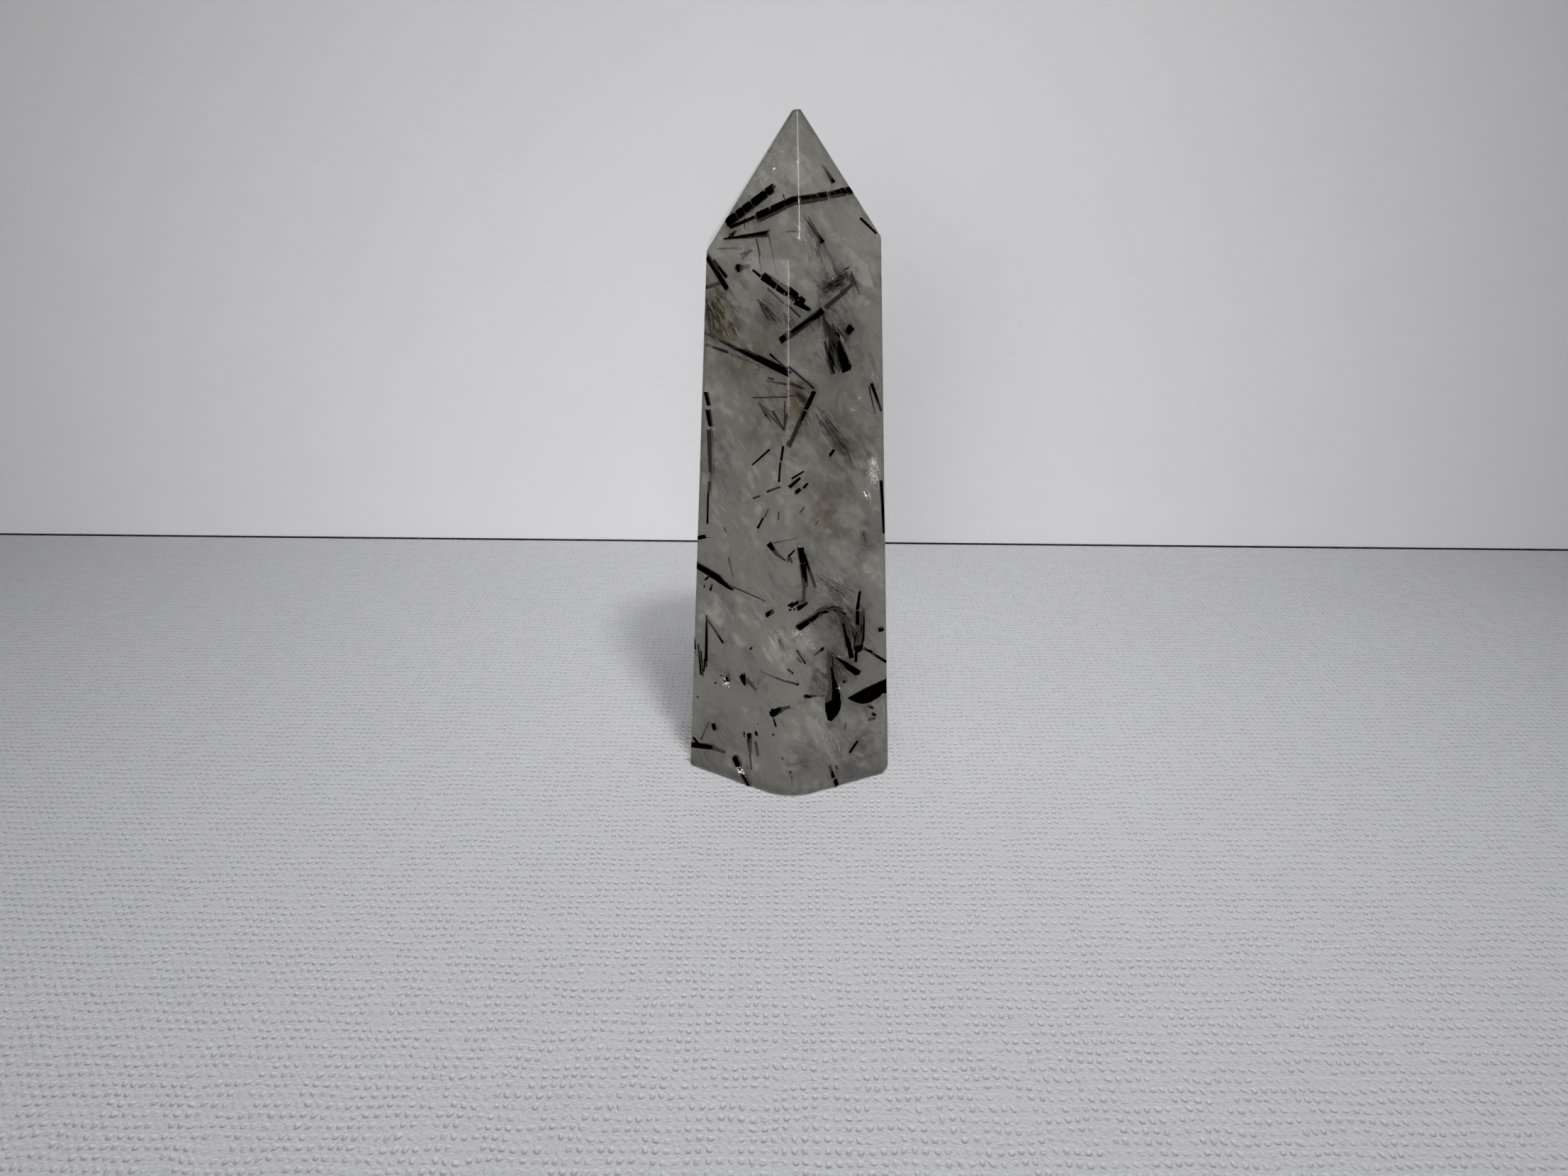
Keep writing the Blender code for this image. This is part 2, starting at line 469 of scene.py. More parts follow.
def rangeOf(tree, source, low, high, first, last):
    made = putNode(tree, "ShaderNodeMapRange", interpolation_type="SMOOTHSTEP")
    for key, value in zip(("From Min", "From Max", "To Min", "To Max"), (low, high, first, last)):
        made.inputs[key].default_value = value
    tree.links.new(source, made.inputs["Value"])
    return made.outputs["Result"]


def bumpOf(tree, height, distance, invert=False):
    made = putNode(tree, "ShaderNodeBump", Distance=distance, Strength=1.0, invert=invert)
    tree.links.new(height, made.inputs["Height"])
    return made.outputs["Normal"]


def letLampsIn(tree, shader):
    # lamps light what lies under this surface, as they do through real quartz
    rays = putNode(tree, "ShaderNodeLightPath")
    clear = putNode(tree, "ShaderNodeBsdfTransparent")
    pick = putNode(tree, "ShaderNodeMixShader")
    tree.links.new(rays.outputs["Is Shadow Ray"], pick.inputs["Fac"])
    tree.links.new(shader.outputs["BSDF"], pick.inputs[1])
    tree.links.new(clear.outputs["BSDF"], pick.inputs[2])
    tree.links.new(pick.outputs["Shader"], tree.nodes["Material Output"].inputs["Surface"])


def newGroup(name, takes, gives):
    # a shared effect: the sockets it takes with their usual values, and the one it gives
    group = bpy.data.node_groups.new(name, "ShaderNodeTree")
    takes = (("Vector", "NodeSocketVector", (0.0, 0.0, 0.0)), *takes)
    for socket, kind, value in takes:
        made = group.interface.new_socket(name=socket, in_out="INPUT", socket_type=kind)
        made.default_value = value
    group.interface.new_socket(name=gives, in_out="OUTPUT", socket_type="NodeSocketFloat")
    return group, putNode(group, "NodeGroupInput"), putNode(group, "NodeGroupOutput").inputs[gives]


def useGroup(tree, group, source, **values):
    made = tree.nodes.new("ShaderNodeGroup")
    made.node_tree = group
    for key, value in values.items():
        made.inputs[key].default_value = value
    tree.links.new(source, made.inputs["Vector"])
    return made.outputs[0]


def stretchedNoise(group, taken, **values):
    # noise at the scale that the group takes, drawn out along one way
    stretch = putNode(group, "ShaderNodeVectorMath", operation="MULTIPLY")
    spots = putNode(group, "ShaderNodeTexNoise", noise_dimensions="3D", **values)
    group.links.new(taken.outputs["Vector"], stretch.inputs[0])
    group.links.new(taken.outputs["Stretch"], stretch.inputs[1])
    group.links.new(stretch.outputs["Vector"], spots.inputs["Vector"])
    group.links.new(taken.outputs["Scale"], spots.inputs["Scale"])
    return spots


def cloudsGroup():
    # soft drifting clouds, stretched along one way
    group, taken, given = newGroup("driftingClouds", (
        ("Stretch", "NodeSocketVector", (1.0, 1.0, 1.0)),
        ("Scale", "NodeSocketFloat", 150.0),
        ("Swirl", "NodeSocketFloat", 0.6),
    ), "Clouds")
    drift = stretchedNoise(group, taken, Detail=4.0, Roughness=0.62)
    group.links.new(taken.outputs["Swirl"], drift.inputs["Distortion"])
    group.links.new(rangeOf(group, drift.outputs["Fac"], 0.3, 0.72, 0.0, 1.0), given)
    return group


def stainGroup():
    # a soft patch round a place
    group, taken, given = newGroup("stainPatch", (
        ("Place", "NodeSocketVector", (0.0, 0.0, 0.0)),
        ("Reach", "NodeSocketFloat", 0.004),
    ), "Patch")
    apart = putNode(group, "ShaderNodeVectorMath", operation="DISTANCE")
    group.links.new(taken.outputs["Vector"], apart.inputs[0])
    group.links.new(taken.outputs["Place"], apart.inputs[1])
    share = mathOf(group, "DIVIDE", apart.outputs["Value"], taken.outputs["Reach"])
    group.links.new(rangeOf(group, share, 0.0, 1.05, 1.0, 0.0), given)
    return group


def reliefGroup():
    # fine relief, stretched along one way: grooves, grain and the ripple of a hand polish
    group, taken, given = newGroup("fineRelief", (
        ("Stretch", "NodeSocketVector", (1.0, 1.0, 1.0)),
        ("Scale", "NodeSocketFloat", 800.0),
    ), "Height")
    group.links.new(stretchedNoise(group, taken, Detail=3.0).outputs["Fac"], given)
    return group


clouds, stains, relief = cloudsGroup(), stainGroup(), reliefGroup()
print("materials: shared groups ready")


# The stone
quartzLook = {
    "colour": (0.90, 0.895, 0.865, 1.0),
    "clearness": 0.98,
    "absorption": (0.60, 0.59, 0.52, 1.0),
    "density": 40.0,
    "smudges": {"Scale": 190.0, "Swirl": 1.2},
    "smudged": (0.045, 0.085),       # roughness, clean and fingered
    "rippleScale": 260.0,
    "ripple": 0.0000015,
}

pits = {
    "places": ((-0.00707, -0.01272, 0.0023), (-0.00897, -0.01077, 0.0156)),
    "reach": 0.0016,
    "facetArea": 6e-7,        # a pit's facets are smaller than this
    "cuts": 3,
    "roughness": 0.00007,
    "grain": 3600.0,
    "crumbScale": 3800.0,
    "crumbDepth": 0.00012,
    "whiteFrom": (0.60, 0.64),       # the share of the crumbs that is black
    "black": (0.008, 0.007, 0.007),
    # white quartz crumbs, partly a painted highlight for the pit's sparkle
    "white": (0.93, 0.93, 0.91),
    "glitter": (0.08, 0.5),          # roughness, from crumb to crumb
}


def quartzMaterial():
    made, tree, shader = newMaterial("polishedQuartz")
    place = ownPlace(tree)
    shader.inputs["Base Color"].default_value = quartzLook["colour"]
    shader.inputs["IOR"].default_value = polish["refraction"]
    shader.inputs["Transmission Weight"].default_value = quartzLook["clearness"]
    smudges = useGroup(tree, clouds, place, **quartzLook["smudges"])
    tree.links.new(rangeOf(tree, smudges, 0.2, 0.9, *quartzLook["smudged"]), shader.inputs["Roughness"])
    ripples = useGroup(tree, relief, place, Scale=quartzLook["rippleScale"])
    tree.links.new(bumpOf(tree, ripples, quartzLook["ripple"]), shader.inputs["Normal"])
    soak = putNode(
        tree, "ShaderNodeVolumeAbsorption", Color=quartzLook["absorption"], Density=quartzLook["density"]
    )
    tree.links.new(soak.outputs["Volume"], tree.nodes["Material Output"].inputs["Volume"])
    letLampsIn(tree, shader)
    return made


def pitMaterial():
    # broken needle left in a pit: black, glittering crumbs with some white quartz among them, whose white is
    # partly a painted sparkle
    made, tree, shader = newMaterial("brokenPit")
    crumbs = putNode(tree, "ShaderNodeTexVoronoi", feature="F1", Scale=pits["crumbScale"])
    apart = putNode(tree, "ShaderNodeSeparateColor")
    tree.links.new(ownPlace(tree), crumbs.inputs["Vector"])
    tree.links.new(crumbs.outputs["Color"], apart.inputs["Color"])
    white = rangeOf(tree, apart.outputs["Red"], *pits["whiteFrom"], 0.0, 1.0)
    tree.links.new(mixColours(tree, white, pits["black"], pits["white"]), shader.inputs["Base Color"])
    glitter = rangeOf(tree, apart.outputs["Green"], 0.0, 1.0, *pits["glitter"])
    tree.links.new(glitter, shader.inputs["Roughness"])
    tree.links.new(bumpOf(tree, crumbs.outputs["Distance"], pits["crumbDepth"]), shader.inputs["Normal"])
    return made


def inPit(face):
    middle = face.calc_center_median()
    near = any((middle - Vector(place)).length < pits["reach"] for place in pits["places"])
    return near and face.calc_area() < pits["facetArea"]


def buildStone():
    mesh = mergedStone()
    lining = {face for face in mesh.faces if inPit(face) and not isSkin(face, mesh.verts)}
    for face in mesh.faces:
        face.smooth = face not in lining
        face.material_index = 1 if face in lining else 0
    inner, rim = [], set()
    for edge in mesh.edges:
        lined = [face in lining for face in edge.link_faces]
        if all(lined):
            inner.append(edge)
        elif any(lined):
            rim.update(edge.verts)
    split = bmesh.ops.subdivide_edges(mesh, edges=inner, cuts=pits["cuts"], use_grid_fill=True)
    fresh = {part for part in split["geom_inner"] if isinstance(part, bmesh.types.BMVert)}
    for corner in fresh - rim:
        corner.co += noise.noise_vector(corner.co * pits["grain"]) * pits["roughness"]
    bmesh.ops.triangulate(mesh, faces=[face for face in mesh.faces if face.material_index == 1])
    stone = rootPiece("polishedStone", mesh, "quartz", quartzMaterial(), pitMaterial())
    stone.data.set_sharp_from_angle(angle=math.radians(polish["crease"]))
    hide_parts("quartz_tower")
    weigh = stone.modifiers.new("flat faces stay flat", "WEIGHTED_NORMAL")
    weigh.keep_sharp = True
    print("stone: built, pit faces", len(lining))
    return stone


buildStone()


# The milk that clouds the quartz from just under its polish
milkLook = {
    "under": 0.00045,
    "underFoot": 0.00010,
    "blank": 1.2,             # size of the block that it is cut from, against the stone
    "density": 210.0,         # scattering per metre
    "forward": 0.4,
    "soak": (0.45, 0.44, 0.37, 1.0),
    "soakDensity": 140.0,
    "dark": (0.030, 0.029, 0.026),
    "pale": (0.314, 0.308, 0.291),
    # painted shade at the foot: the dark colour that the milk's skin takes near the bottom
    "foot": (0.070, 0.069, 0.065),
    "footShadeRise": 0.0009,       # the painted shade at the foot, dark and opaque, fades out this far above it
    "thin": 0.04,             # how much of the light the milk's skin stops, clear, smoky and clouded
    "smoky": 0.40,
    "thick": 0.34,
    "mottle": 0.48,           # how far mottling thins a stain
    "curds": 0.40,            # how much the finest clouds count
    "lean": -50.0,            # degrees that the wisps lean
    "torn": 0.008,            # how far noise tears the stains' rims, in metres
    "tearScale": 210.0,
}

milkClouds = (
    {"Scale": 75.0, "Swirl": 0.8},                                   # broad banks
    {"Scale": 760.0, "Swirl": 0.4},                                  # fine curds
)
milkWisps = (
    {"Scale": 170.0, "Swirl": 0.5, "Stretch": (1.0, 1.0, 2.6)},      # pale wisps
    {"Scale": 95.0, "Swirl": 2.2, "Stretch": (1.0, 1.4, 1.9)},       # smoke
    {"Scale": 420.0, "Swirl": 0.3, "Stretch": (1.0, 1.2, 3.0)},      # the stains' mottling
)

# patches of colour: pixel, depth in mm, reach, colour and strength
milkStains = {
    "olive": ((1020, 446), 0.5, 0.0070, (0.030, 0.026, 0.009), 1.35),
    "oliveTail": ((1056, 505), 0.5, 0.0074, (0.068, 0.057, 0.031), 0.90),
    "brown": ((1128, 570), 0.5, 0.0046, (0.030, 0.016, 0.007), 1.30),
    "brownWide": ((1105, 590), 0.5, 0.0086, (0.068, 0.050, 0.030), 0.75),
    "warmShade": ((1194, 642), 0.5, 0.0072, (0.032, 0.022, 0.014), 1.05),
    "warmStreak": ((1168, 604), 0.5, 0.0052, (0.040, 0.032, 0.024), 0.70),
    "warmTail": ((1170, 725), 0.5, 0.0096, (0.070, 0.048, 0.033), 0.90),
    "bandSmoke": ((1156, 345), 0.5, 0.0064, (0.045, 0.043, 0.040), 0.62),
    "smokeUpper": ((1176, 468), 0.5, 0.0066, (0.024, 0.022, 0.020), 0.95),
    "smokeHigh": ((1180, 402), 0.5, 0.0052, (0.020, 0.019, 0.018), 1.15),
    "smokeMiddle": ((1088, 445), 0.5, 0.0046, (0.032, 0.030, 0.028), 0.85),
    "smokeRight": ((1222, 760), 0.5, 0.0060, (0.030, 0.028, 0.028), 0.75),
    "smokeLower": ((1180, 835), 0.5, 0.0066, (0.022, 0.021, 0.021), 0.90),
    "smokeFan": ((1190, 885), 0.5, 0.0064, (0.014, 0.013, 0.014), 1.25),
    "smokeFoot": ((1173, 945), 0.5, 0.0060, (0.017, 0.014, 0.018), 1.35),
    "smokeLow": ((1140, 1070), 0.5, 0.0070, (0.036, 0.034, 0.033), 0.65),
    "smokeLeft": ((1004, 650), 0.5, 0.0062, (0.036, 0.034, 0.030), 0.75),
    "tipShade": ((1132, 240), 0.5, 0.0105, (0.070, 0.069, 0.064), 0.62),
    "smokeTip": ((1046, 300), 0.5, 0.0046, (0.040, 0.039, 0.032), 0.60),
    "footLeft": ((1012, 1030), 0.5, 0.0076, (0.050, 0.048, 0.046), 0.60),
    "lowRight": ((1206, 1062), 0.5, 0.0100, (0.040, 0.038, 0.037), 0.95),
    "lightMiddle": ((1116, 702), 0.5, 0.0052, (0.320, 0.320, 0.310), 0.40),
    "lightUpper": ((1085, 362), 0.5, 0.0050, (0.300, 0.300, 0.285), 0.28),
    "lightSlant": ((1165, 812), 0.5, 0.0044, (0.320, 0.320, 0.310), 0.34),
    "denserTip": ((1124, 190), 4.0, 0.0210, (0.105, 0.105, 0.088), 0.42),
}


def tornPlace(tree, place):
    # the stone's coordinates, shifted about by noise so that a stain's rim is torn
    tear = putNode(
        tree, "ShaderNodeTexNoise", noise_dimensions="3D", Scale=milkLook["tearScale"], Detail=4.0
    )
    torn = putNode(tree, "ShaderNodeVectorMath", operation="MULTIPLY_ADD")
    tree.links.new(place, tear.inputs["Vector"])
    tree.links.new(tear.outputs["Color"], torn.inputs[0])
    torn.inputs[1].default_value = (milkLook["torn"],) * 3
    tree.links.new(place, torn.inputs[2])
    return torn.outputs["Vector"]


def milkMaterial():
    made, tree, shader = newMaterial("cloudyMilk")
    place = ownPlace(tree)
    leaning = putNode(tree, "ShaderNodeMapping", Rotation=(0.0, math.radians(milkLook["lean"]), 0.0))
    tree.links.new(place, leaning.inputs["Vector"])
    broad, fine = [useGroup(tree, clouds, place, **layer) for layer in milkClouds]
    wisps, smoke, mottle = [useGroup(tree, clouds, leaning.outputs["Vector"], **layer) for layer in milkWisps]
    curds = mathOf(tree, "MULTIPLY_ADD", fine, milkLook["curds"], mathOf(tree, "MULTIPLY", broad, wisps))
    paleness = rangeOf(tree, curds, 0.20, 0.90, 0.0, 1.0)
    colour = mixColours(tree, paleness, milkLook["dark"], milkLook["pale"])
    smoky = rangeOf(tree, smoke, 0.45, 1.0, milkLook["thin"], milkLook["smoky"])
    clouded = rangeOf(tree, curds, 0.15, 1.05, 0.0, milkLook["thick"])
    cover = mathOf(tree, "MAXIMUM", smoky, clouded)
    mottled = rangeOf(tree, mottle, 0.1, 0.9, milkLook["mottle"], 1.0)
    torn = tornPlace(tree, place)
    usualShift = Vector((0.5, 0.5, 0.5)) * milkLook["torn"]       # the noise's mean is a half
    for pixel, deep, reach, tint, strength in milkStains.values():
        patch = useGroup(tree, stains, torn, Place=seenAt(pixel, deep) + usualShift, Reach=reach)
        share = mathOf(tree, "MULTIPLY", mathOf(tree, "MULTIPLY", patch, mottled), strength)
        colour = mixColours(tree, share, colour, tint)
        cover = mathOf(tree, "MAXIMUM", cover, share)
    apart = putNode(tree, "ShaderNodeSeparateXYZ")
    tree.links.new(place, apart.inputs["Vector"])
    # painted shade: near the foot the milk's skin turns dark and opaque
    paintedFootShade = rangeOf(tree, apart.outputs["Z"], milkLook["underFoot"] * 2, milkLook["footShadeRise"], 1.0, 0.0)
    tree.links.new(mixColours(tree, paintedFootShade, colour, milkLook["foot"]), shader.inputs["Base Color"])
    tree.links.new(mathOf(tree, "MAXIMUM", cover, paintedFootShade), shader.inputs["Alpha"])
    shader.inputs["Roughness"].default_value = 1.0
    shader.inputs["Specular IOR Level"].default_value = 0.0
    letLampsIn(tree, shader)
    scatter = putNode(
        tree, "ShaderNodeVolumeScatter", Color=(1.0, 1.0, 1.0, 1.0), Density=milkLook["density"],
        Anisotropy=milkLook["forward"],
    )
    soak = putNode(
        tree, "ShaderNodeVolumeAbsorption", Color=milkLook["soak"], Density=milkLook["soakDensity"]
    )
    both = putNode(tree, "ShaderNodeAddShader")
    tree.links.new(scatter.outputs["Volume"], both.inputs[0])
    tree.links.new(soak.outputs["Volume"], both.inputs[1])
    tree.links.new(both.outputs["Shader"], tree.nodes["Material Output"].inputs["Volume"])
    return made


def buildMilk():
    mesh = bmesh.new()
    low, high = cadBox
    bmesh.ops.create_cube(mesh, size=1.0)
    bmesh.ops.scale(mesh, vec=(high - low) * milkLook["blank"], verts=mesh.verts)
    bmesh.ops.translate(mesh, vec=(low + high) / 2, verts=mesh.verts)
    for point, normal in [*stoneFlats, stoneTop]:
        under = milkLook["underFoot"] if isFoot(normal) else milkLook["under"]
        rim = cutAway(mesh, point - normal * under, normal)
        if rim:
            bmesh.ops.contextual_create(mesh, geom=rim)
    bmesh.ops.recalc_face_normals(mesh, faces=mesh.faces)
    milk = rootPiece("innerMilk", mesh, "quartz", milkMaterial())
    print("milk: built")
    return milk


buildMilk()


# Black needles
tourmalineLook = {
    "dull": {"Scale": 1.1, "Stretch": (1.0, 1.0, 0.5)},
    "black": (0.0045, 0.0040, 0.0040),
    "brown": (0.020, 0.015, 0.012),
    "roughness": (0.22, 0.5),
    "grooves": {"Scale": 2.6, "Stretch": (1.0, 1.0, 0.12)},
    "grooveDepth": 0.00004,
}


def tourmalineMaterial():
    look = tourmalineLook
    made, tree, shader = newMaterial("blackTourmaline")
    marks = putNode(tree, "ShaderNodeAttribute", attribute_name=needleForm["along"]).outputs["Vector"]
    dull = useGroup(tree, clouds, marks, **look["dull"])
    tree.links.new(mixColours(tree, dull, look["black"], look["brown"]), shader.inputs["Base Color"])
    tree.links.new(rangeOf(tree, dull, 0.0, 1.0, *look["roughness"]), shader.inputs["Roughness"])
    grooves = useGroup(tree, relief, marks, **look["grooves"])
    tree.links.new(bumpOf(tree, grooves, look["grooveDepth"]), shader.inputs["Normal"])
    shader.inputs["IOR"].default_value = needleForm["refraction"]
    return made


blackTourmaline = tourmalineMaterial()

tipNeedles = {
    "seed": 3,
    "needles": {    # ends in photo pixels, widths in mm, depths under the polish in mm
        "underTheSlant": ((1030, 321), (1065, 306), (0.54, 0.51), (0.07, 0.10)),
        "hairUnderTheSlant": ((1050, 306), (1051, 324), (0.14, 0.10), (0.20, 0.24)),
        "bandProng": ((1072, 311), (1100, 298), (0.49, 0.43), (0.54, 0.41)),
        "bandHair": ((1105, 274), (1108, 285), (0.18, 0.13), (0.05, 0.10)),
        "rightShort": ((1161, 234), (1176, 257), (0.38, 0.54), (1.09, 0.05)),
        "rightShortTwin": ((1165, 241), (1174, 258), (0.26, 0.32), (0.61, 0.05)),
        "rightEdge": ((1214, 308), (1237, 330), (0.44, 0.36), (0.05, 0.07)),
        "wedge": ((1021, 337), (1084, 329), (0.24, 0.92), (0.05, 0.37)),
        "blobOverWedge": ((1033, 331), (1038, 326), (0.49, 0.43), (0.05, 0.41)),
        "sparkleBlob": ((1030, 332), (1034, 334), (0.65, 0.59), (0.02, 0.34)),
        "drop": ((1067, 337), (1072, 360), (0.20, 0.18), (0.34, 0.41)),
        "dropLower": ((1071, 360), (1074, 383), (0.18, 0.13), (0.41, 0.68)),
        "faintDrop": ((1083, 326), (1097, 388), (0.26, 0.18), (1.09, 1.63)),
        "faintLevel": ((1010, 351), (1046, 351), (0.28, 0.38), (1.50, 1.22)),
        "faintCentre": ((1109, 327), (1123, 326), (0.23, 0.23), (1.09, 1.09)),
        "softLeaf": ((1046, 363), (1064, 352), (0.65, 0.27), (0.88, 1.50)),
        "roundEnd": ((1039, 379), (1045, 377), (1.03, 0.92), (0.02, 0.61)),
        "roundEndTail": ((1043, 378), (1059, 375), (0.81, 0.54), (0.54, 2.04)),
    },
    "bundles": {    # the same, then fibres and cross cracks
        "slant": ((1026, 315), (1091, 265), (1.55, 1.30), (0.32, 0.30), 11, 4),
        "bandLeft": ((1069, 307), (1125, 281), (1.35, 1.20), (0.30, 0.35), 9, 2),
        "bandMiddle": ((1128, 282), (1166, 276), (1.15, 1.10), (0.60, 0.45), 8, 2),
        "bandRight": ((1170, 275), (1202, 268), (1.05, 1.15), (0.45, 0.15), 8, 3),
    },
    "sprays": {    # root and tip, spread and hair width in mm, depths, number of hairs
        "rightStreaks": ((1132, 300), (1172, 385), 0.50, 0.10, (0.44, 0.44), 14),
        "slantFray": ((1080, 272), (1094, 262), 0.22, 0.16, (0.25, 0.30), 9),
    },
}

upperNeedles = {
    "seed": 5,
    "needles": {
        "leftPair": ((998, 362), (1026, 408), (0.80, 0.72), (0.30, 0.07)),
        "leftPairThin": ((1007, 367), (1025, 391), (0.44, 0.46), (0.27, 0.05)),
        "leftSoft": ((996, 406), (1016, 399), (0.43, 0.54), (0.95, 0.68)),
        "shortBeforeStep": ((1062, 381), (1073, 390), (0.33, 0.41), (0.10, 0.07)),
        "thinUnderStep": ((1083, 407), (1106, 428), (0.36, 0.36), (0.20, 0.34)),
        "thinUnderStepEnd": ((1109, 430), (1129, 447), (0.33, 0.28), (0.41, 0.10)),
        "crossing": ((1102, 480), (1161, 437), (0.86, 0.92), (0.08, 0.17)),
        "crossingStep": ((1101, 481), (1109, 475), (0.81, 0.81), (0.05, 0.14)),
        "crossingEdge": ((1116, 469), (1150, 444), (0.51, 0.46), (0.07, 0.14)),
        "crossingSoft": ((1164, 434), (1192, 411), (0.62, 0.55), (0.36, 0.52)),
        "crossingSoftEnd": ((1187, 414), (1202, 401), (0.60, 0.50), (0.46, 0.62)),
        "hooked": ((1140, 313), (1160, 341), (0.28, 0.54), (0.41, 0.07)),
        "hook": ((1155, 342), (1163, 340), (0.38, 0.33), (0.20, 0.07)),
        "block": ((1202, 460), (1194, 470), (1.10, 0.90), (0.02, 0.44)),
        "olivePairSoft": ((1001, 412), (1014, 441), (0.51, 0.38), (1.50, 1.90)),
        "oliveStreak": ((1018, 412), (1040, 446), (0.44, 0.26), (1.77, 2.18)),
    },
    "bundles": {
        "stepped": ((1076, 389), (1111, 412), (1.00, 1.05), (0.20, 0.45), 5, 1),
        "steppedMiddle": ((1111, 411), (1133, 428), (1.05, 0.95), (0.40, 0.20), 5, 1),
        "steppedEnd": ((1122, 425), (1143, 437), (0.70, 0.42), (0.25, 0.05), 3, 0),
        "fanBody": ((1192, 516), (1174, 470), (1.50, 0.90), (0.38, 0.50), 14, 0),
    },
    "sprays": {
        "fanMass": ((1174, 462), (1191, 519), 0.90, 0.24, (0.46, 0.14), 34),
        "fanProng": ((1163, 480), (1179, 533), 0.34, 0.26, (0.42, 0.08), 14),
        "fanSmoke": ((1162, 448), (1180, 500), 0.70, 0.15, (0.46, 0.38), 22),
        "fanHigh": ((1156, 436), (1170, 470), 0.50, 0.14, (0.46, 0.44), 12),
        "fanStreaks": ((1155, 489), (1173, 522), 0.14, 0.20, (1.6, 0.90), 3),
        "farStreaks": ((1147, 496), (1160, 509), 0.20, 0.16, (2.4, 1.80), 3),
        "blotches": ((1196, 384), (1166, 414), 0.75, 0.17, (0.36, 0.40), 22),
        "blotchesCross": ((1164, 398), (1200, 402), 0.60, 0.16, (0.38, 0.40), 12),
        "blotchesRight": ((1200, 384), (1208, 414), 0.55, 0.14, (0.44, 0.44), 9),
        "smokeLeft": ((1070, 424), (1098, 458), 0.70, 0.14, (0.44, 0.42), 22),
        "smokeMiddle": ((1108, 440), (1122, 466), 0.40, 0.13, (0.44, 0.42), 8),
        "edgeSmoke": ((1000, 418), (1012, 470), 0.50, 0.14, (0.46, 0.42), 14),
    },
    "shards": {     # outline as pixel and depth, then thickness in mm
        "fanFoot": (((1184, 503, 0.05), (1193, 508, -0.15), (1201.5, 516, -0.15), (1200.5, 522, -0.15),
                     (1189, 527, -0.15), (1183, 516, 0.3)), 0.9),
    },
}

middleNeedles = {
    "seed": 8,
    "needles": {
        "longFirst": ((996, 470), (1027, 486), (0.36, 0.51), (0.95, 0.48)),
        "long": ((1027, 486), (1112, 527), (0.50, 0.80), (0.24, 0.08)),
        "longEdge": ((1050, 493), (1109, 521), (0.26, 0.38), (0.20, 0.07)),
        "longKnob": ((1094, 519), (1097, 516), (0.28, 0.20), (0.05, 0.05)),
        "besideLong": ((996, 486), (1027, 497), (0.44, 0.41), (0.75, 0.54)),
        "besideLongSoft": ((1030, 499), (1078, 519), (0.38, 0.26), (0.82, 1.29)),
        "crossLeft": ((1086, 499), (1110, 521), (0.31, 0.33), (0.07, 0.20)),
        "crossRight": ((1111, 517), (1148, 548), (0.33, 0.28), (0.27, 0.07)),
        "elbow": ((1148, 553), (1136, 578), (0.64, 0.70), (0.08, 0.24)),
        "elbowLower": ((1135, 580), (1113, 630), (0.72, 0.52), (0.30, 0.46)),
        "level": ((1062, 561), (1111, 560), (0.20, 0.26), (0.41, 0.54)),
        "levelRight": ((1112, 559), (1123, 558), (0.26, 0.20), (0.54, 0.61)),
        "arcLeft": ((1080, 537), (1109, 542), (0.26, 0.36), (0.75, 0.68)),
        "arcRight": ((1112, 541), (1133, 548), (0.41, 0.36), (0.61, 0.54)),
        "tick": ((1083, 533), (1092, 535), (0.26, 0.23), (0.41, 0.41)),
        "vLeft": ((1090, 580), (1105, 606), (0.40, 0.38), (0.46, 0.36)),
        "vRight": ((1110, 583), (1106, 607), (0.34, 0.42), (0.42, 0.32)),
        "vMiddle": ((1107, 566), (1106, 600), (0.20, 0.20), (0.36, 0.30)),
        "uprightTop": ((1105, 629), (1102, 650), (0.38, 0.36), (0.07, 0.10)),
        "uprightLow": ((1101, 652), (1099, 680), (0.33, 0.36), (0.10, 0.07)),
        "slash": ((1061, 656), (1086, 634), (0.26, 0.28), (0.05, 0.05)),
        "rightLong": ((1229, 541), (1243, 580), (0.52, 0.32), (0.07, 0.27)),
        "rightLongThin": ((1226, 545), (1235, 584), (0.23, 0.15), (0.34, 0.82)),
        "leftA": ((996, 553), (1000, 571), (0.72, 0.68), (0.30, 0.24)),
        "leftB": ((999, 579), (1003, 602), (0.80, 0.72), (0.24, 0.30)),
        "leftC": ((1000, 606), (1002, 666), (0.60, 0.50), (0.56, 0.60)),
        "leftD": ((1001, 679), (999, 700), (0.52, 0.42), (0.36, 0.14)),
        "leftE": ((999, 700), (998, 739), (0.36, 0.33), (0.10, 0.05)),
        "dash": ((1170, 643), (1177, 634), (0.46, 0.38), (0.05, 0.10)),
    },
    "sprays": {
        "vSmoke": ((1070, 568), (1098, 600), 0.40, 0.12, (0.46, 0.40), 14),
        "crackedRight": ((1150, 575), (1206, 646), 0.80, 0.10, (0.46, 0.46), 22),
        "leftSmoke": ((1003, 600), (1004, 700), 0.32, 0.12, (0.46, 0.44), 12),
    },
    "shards": {
        "brownTriangle": (((1122, 553, 0.2), (1131, 558, 0.2), (1138, 564, 0.1), (1136, 571, 0.1),
                           (1126, 561, 0.6)), 0.5),
    },
}

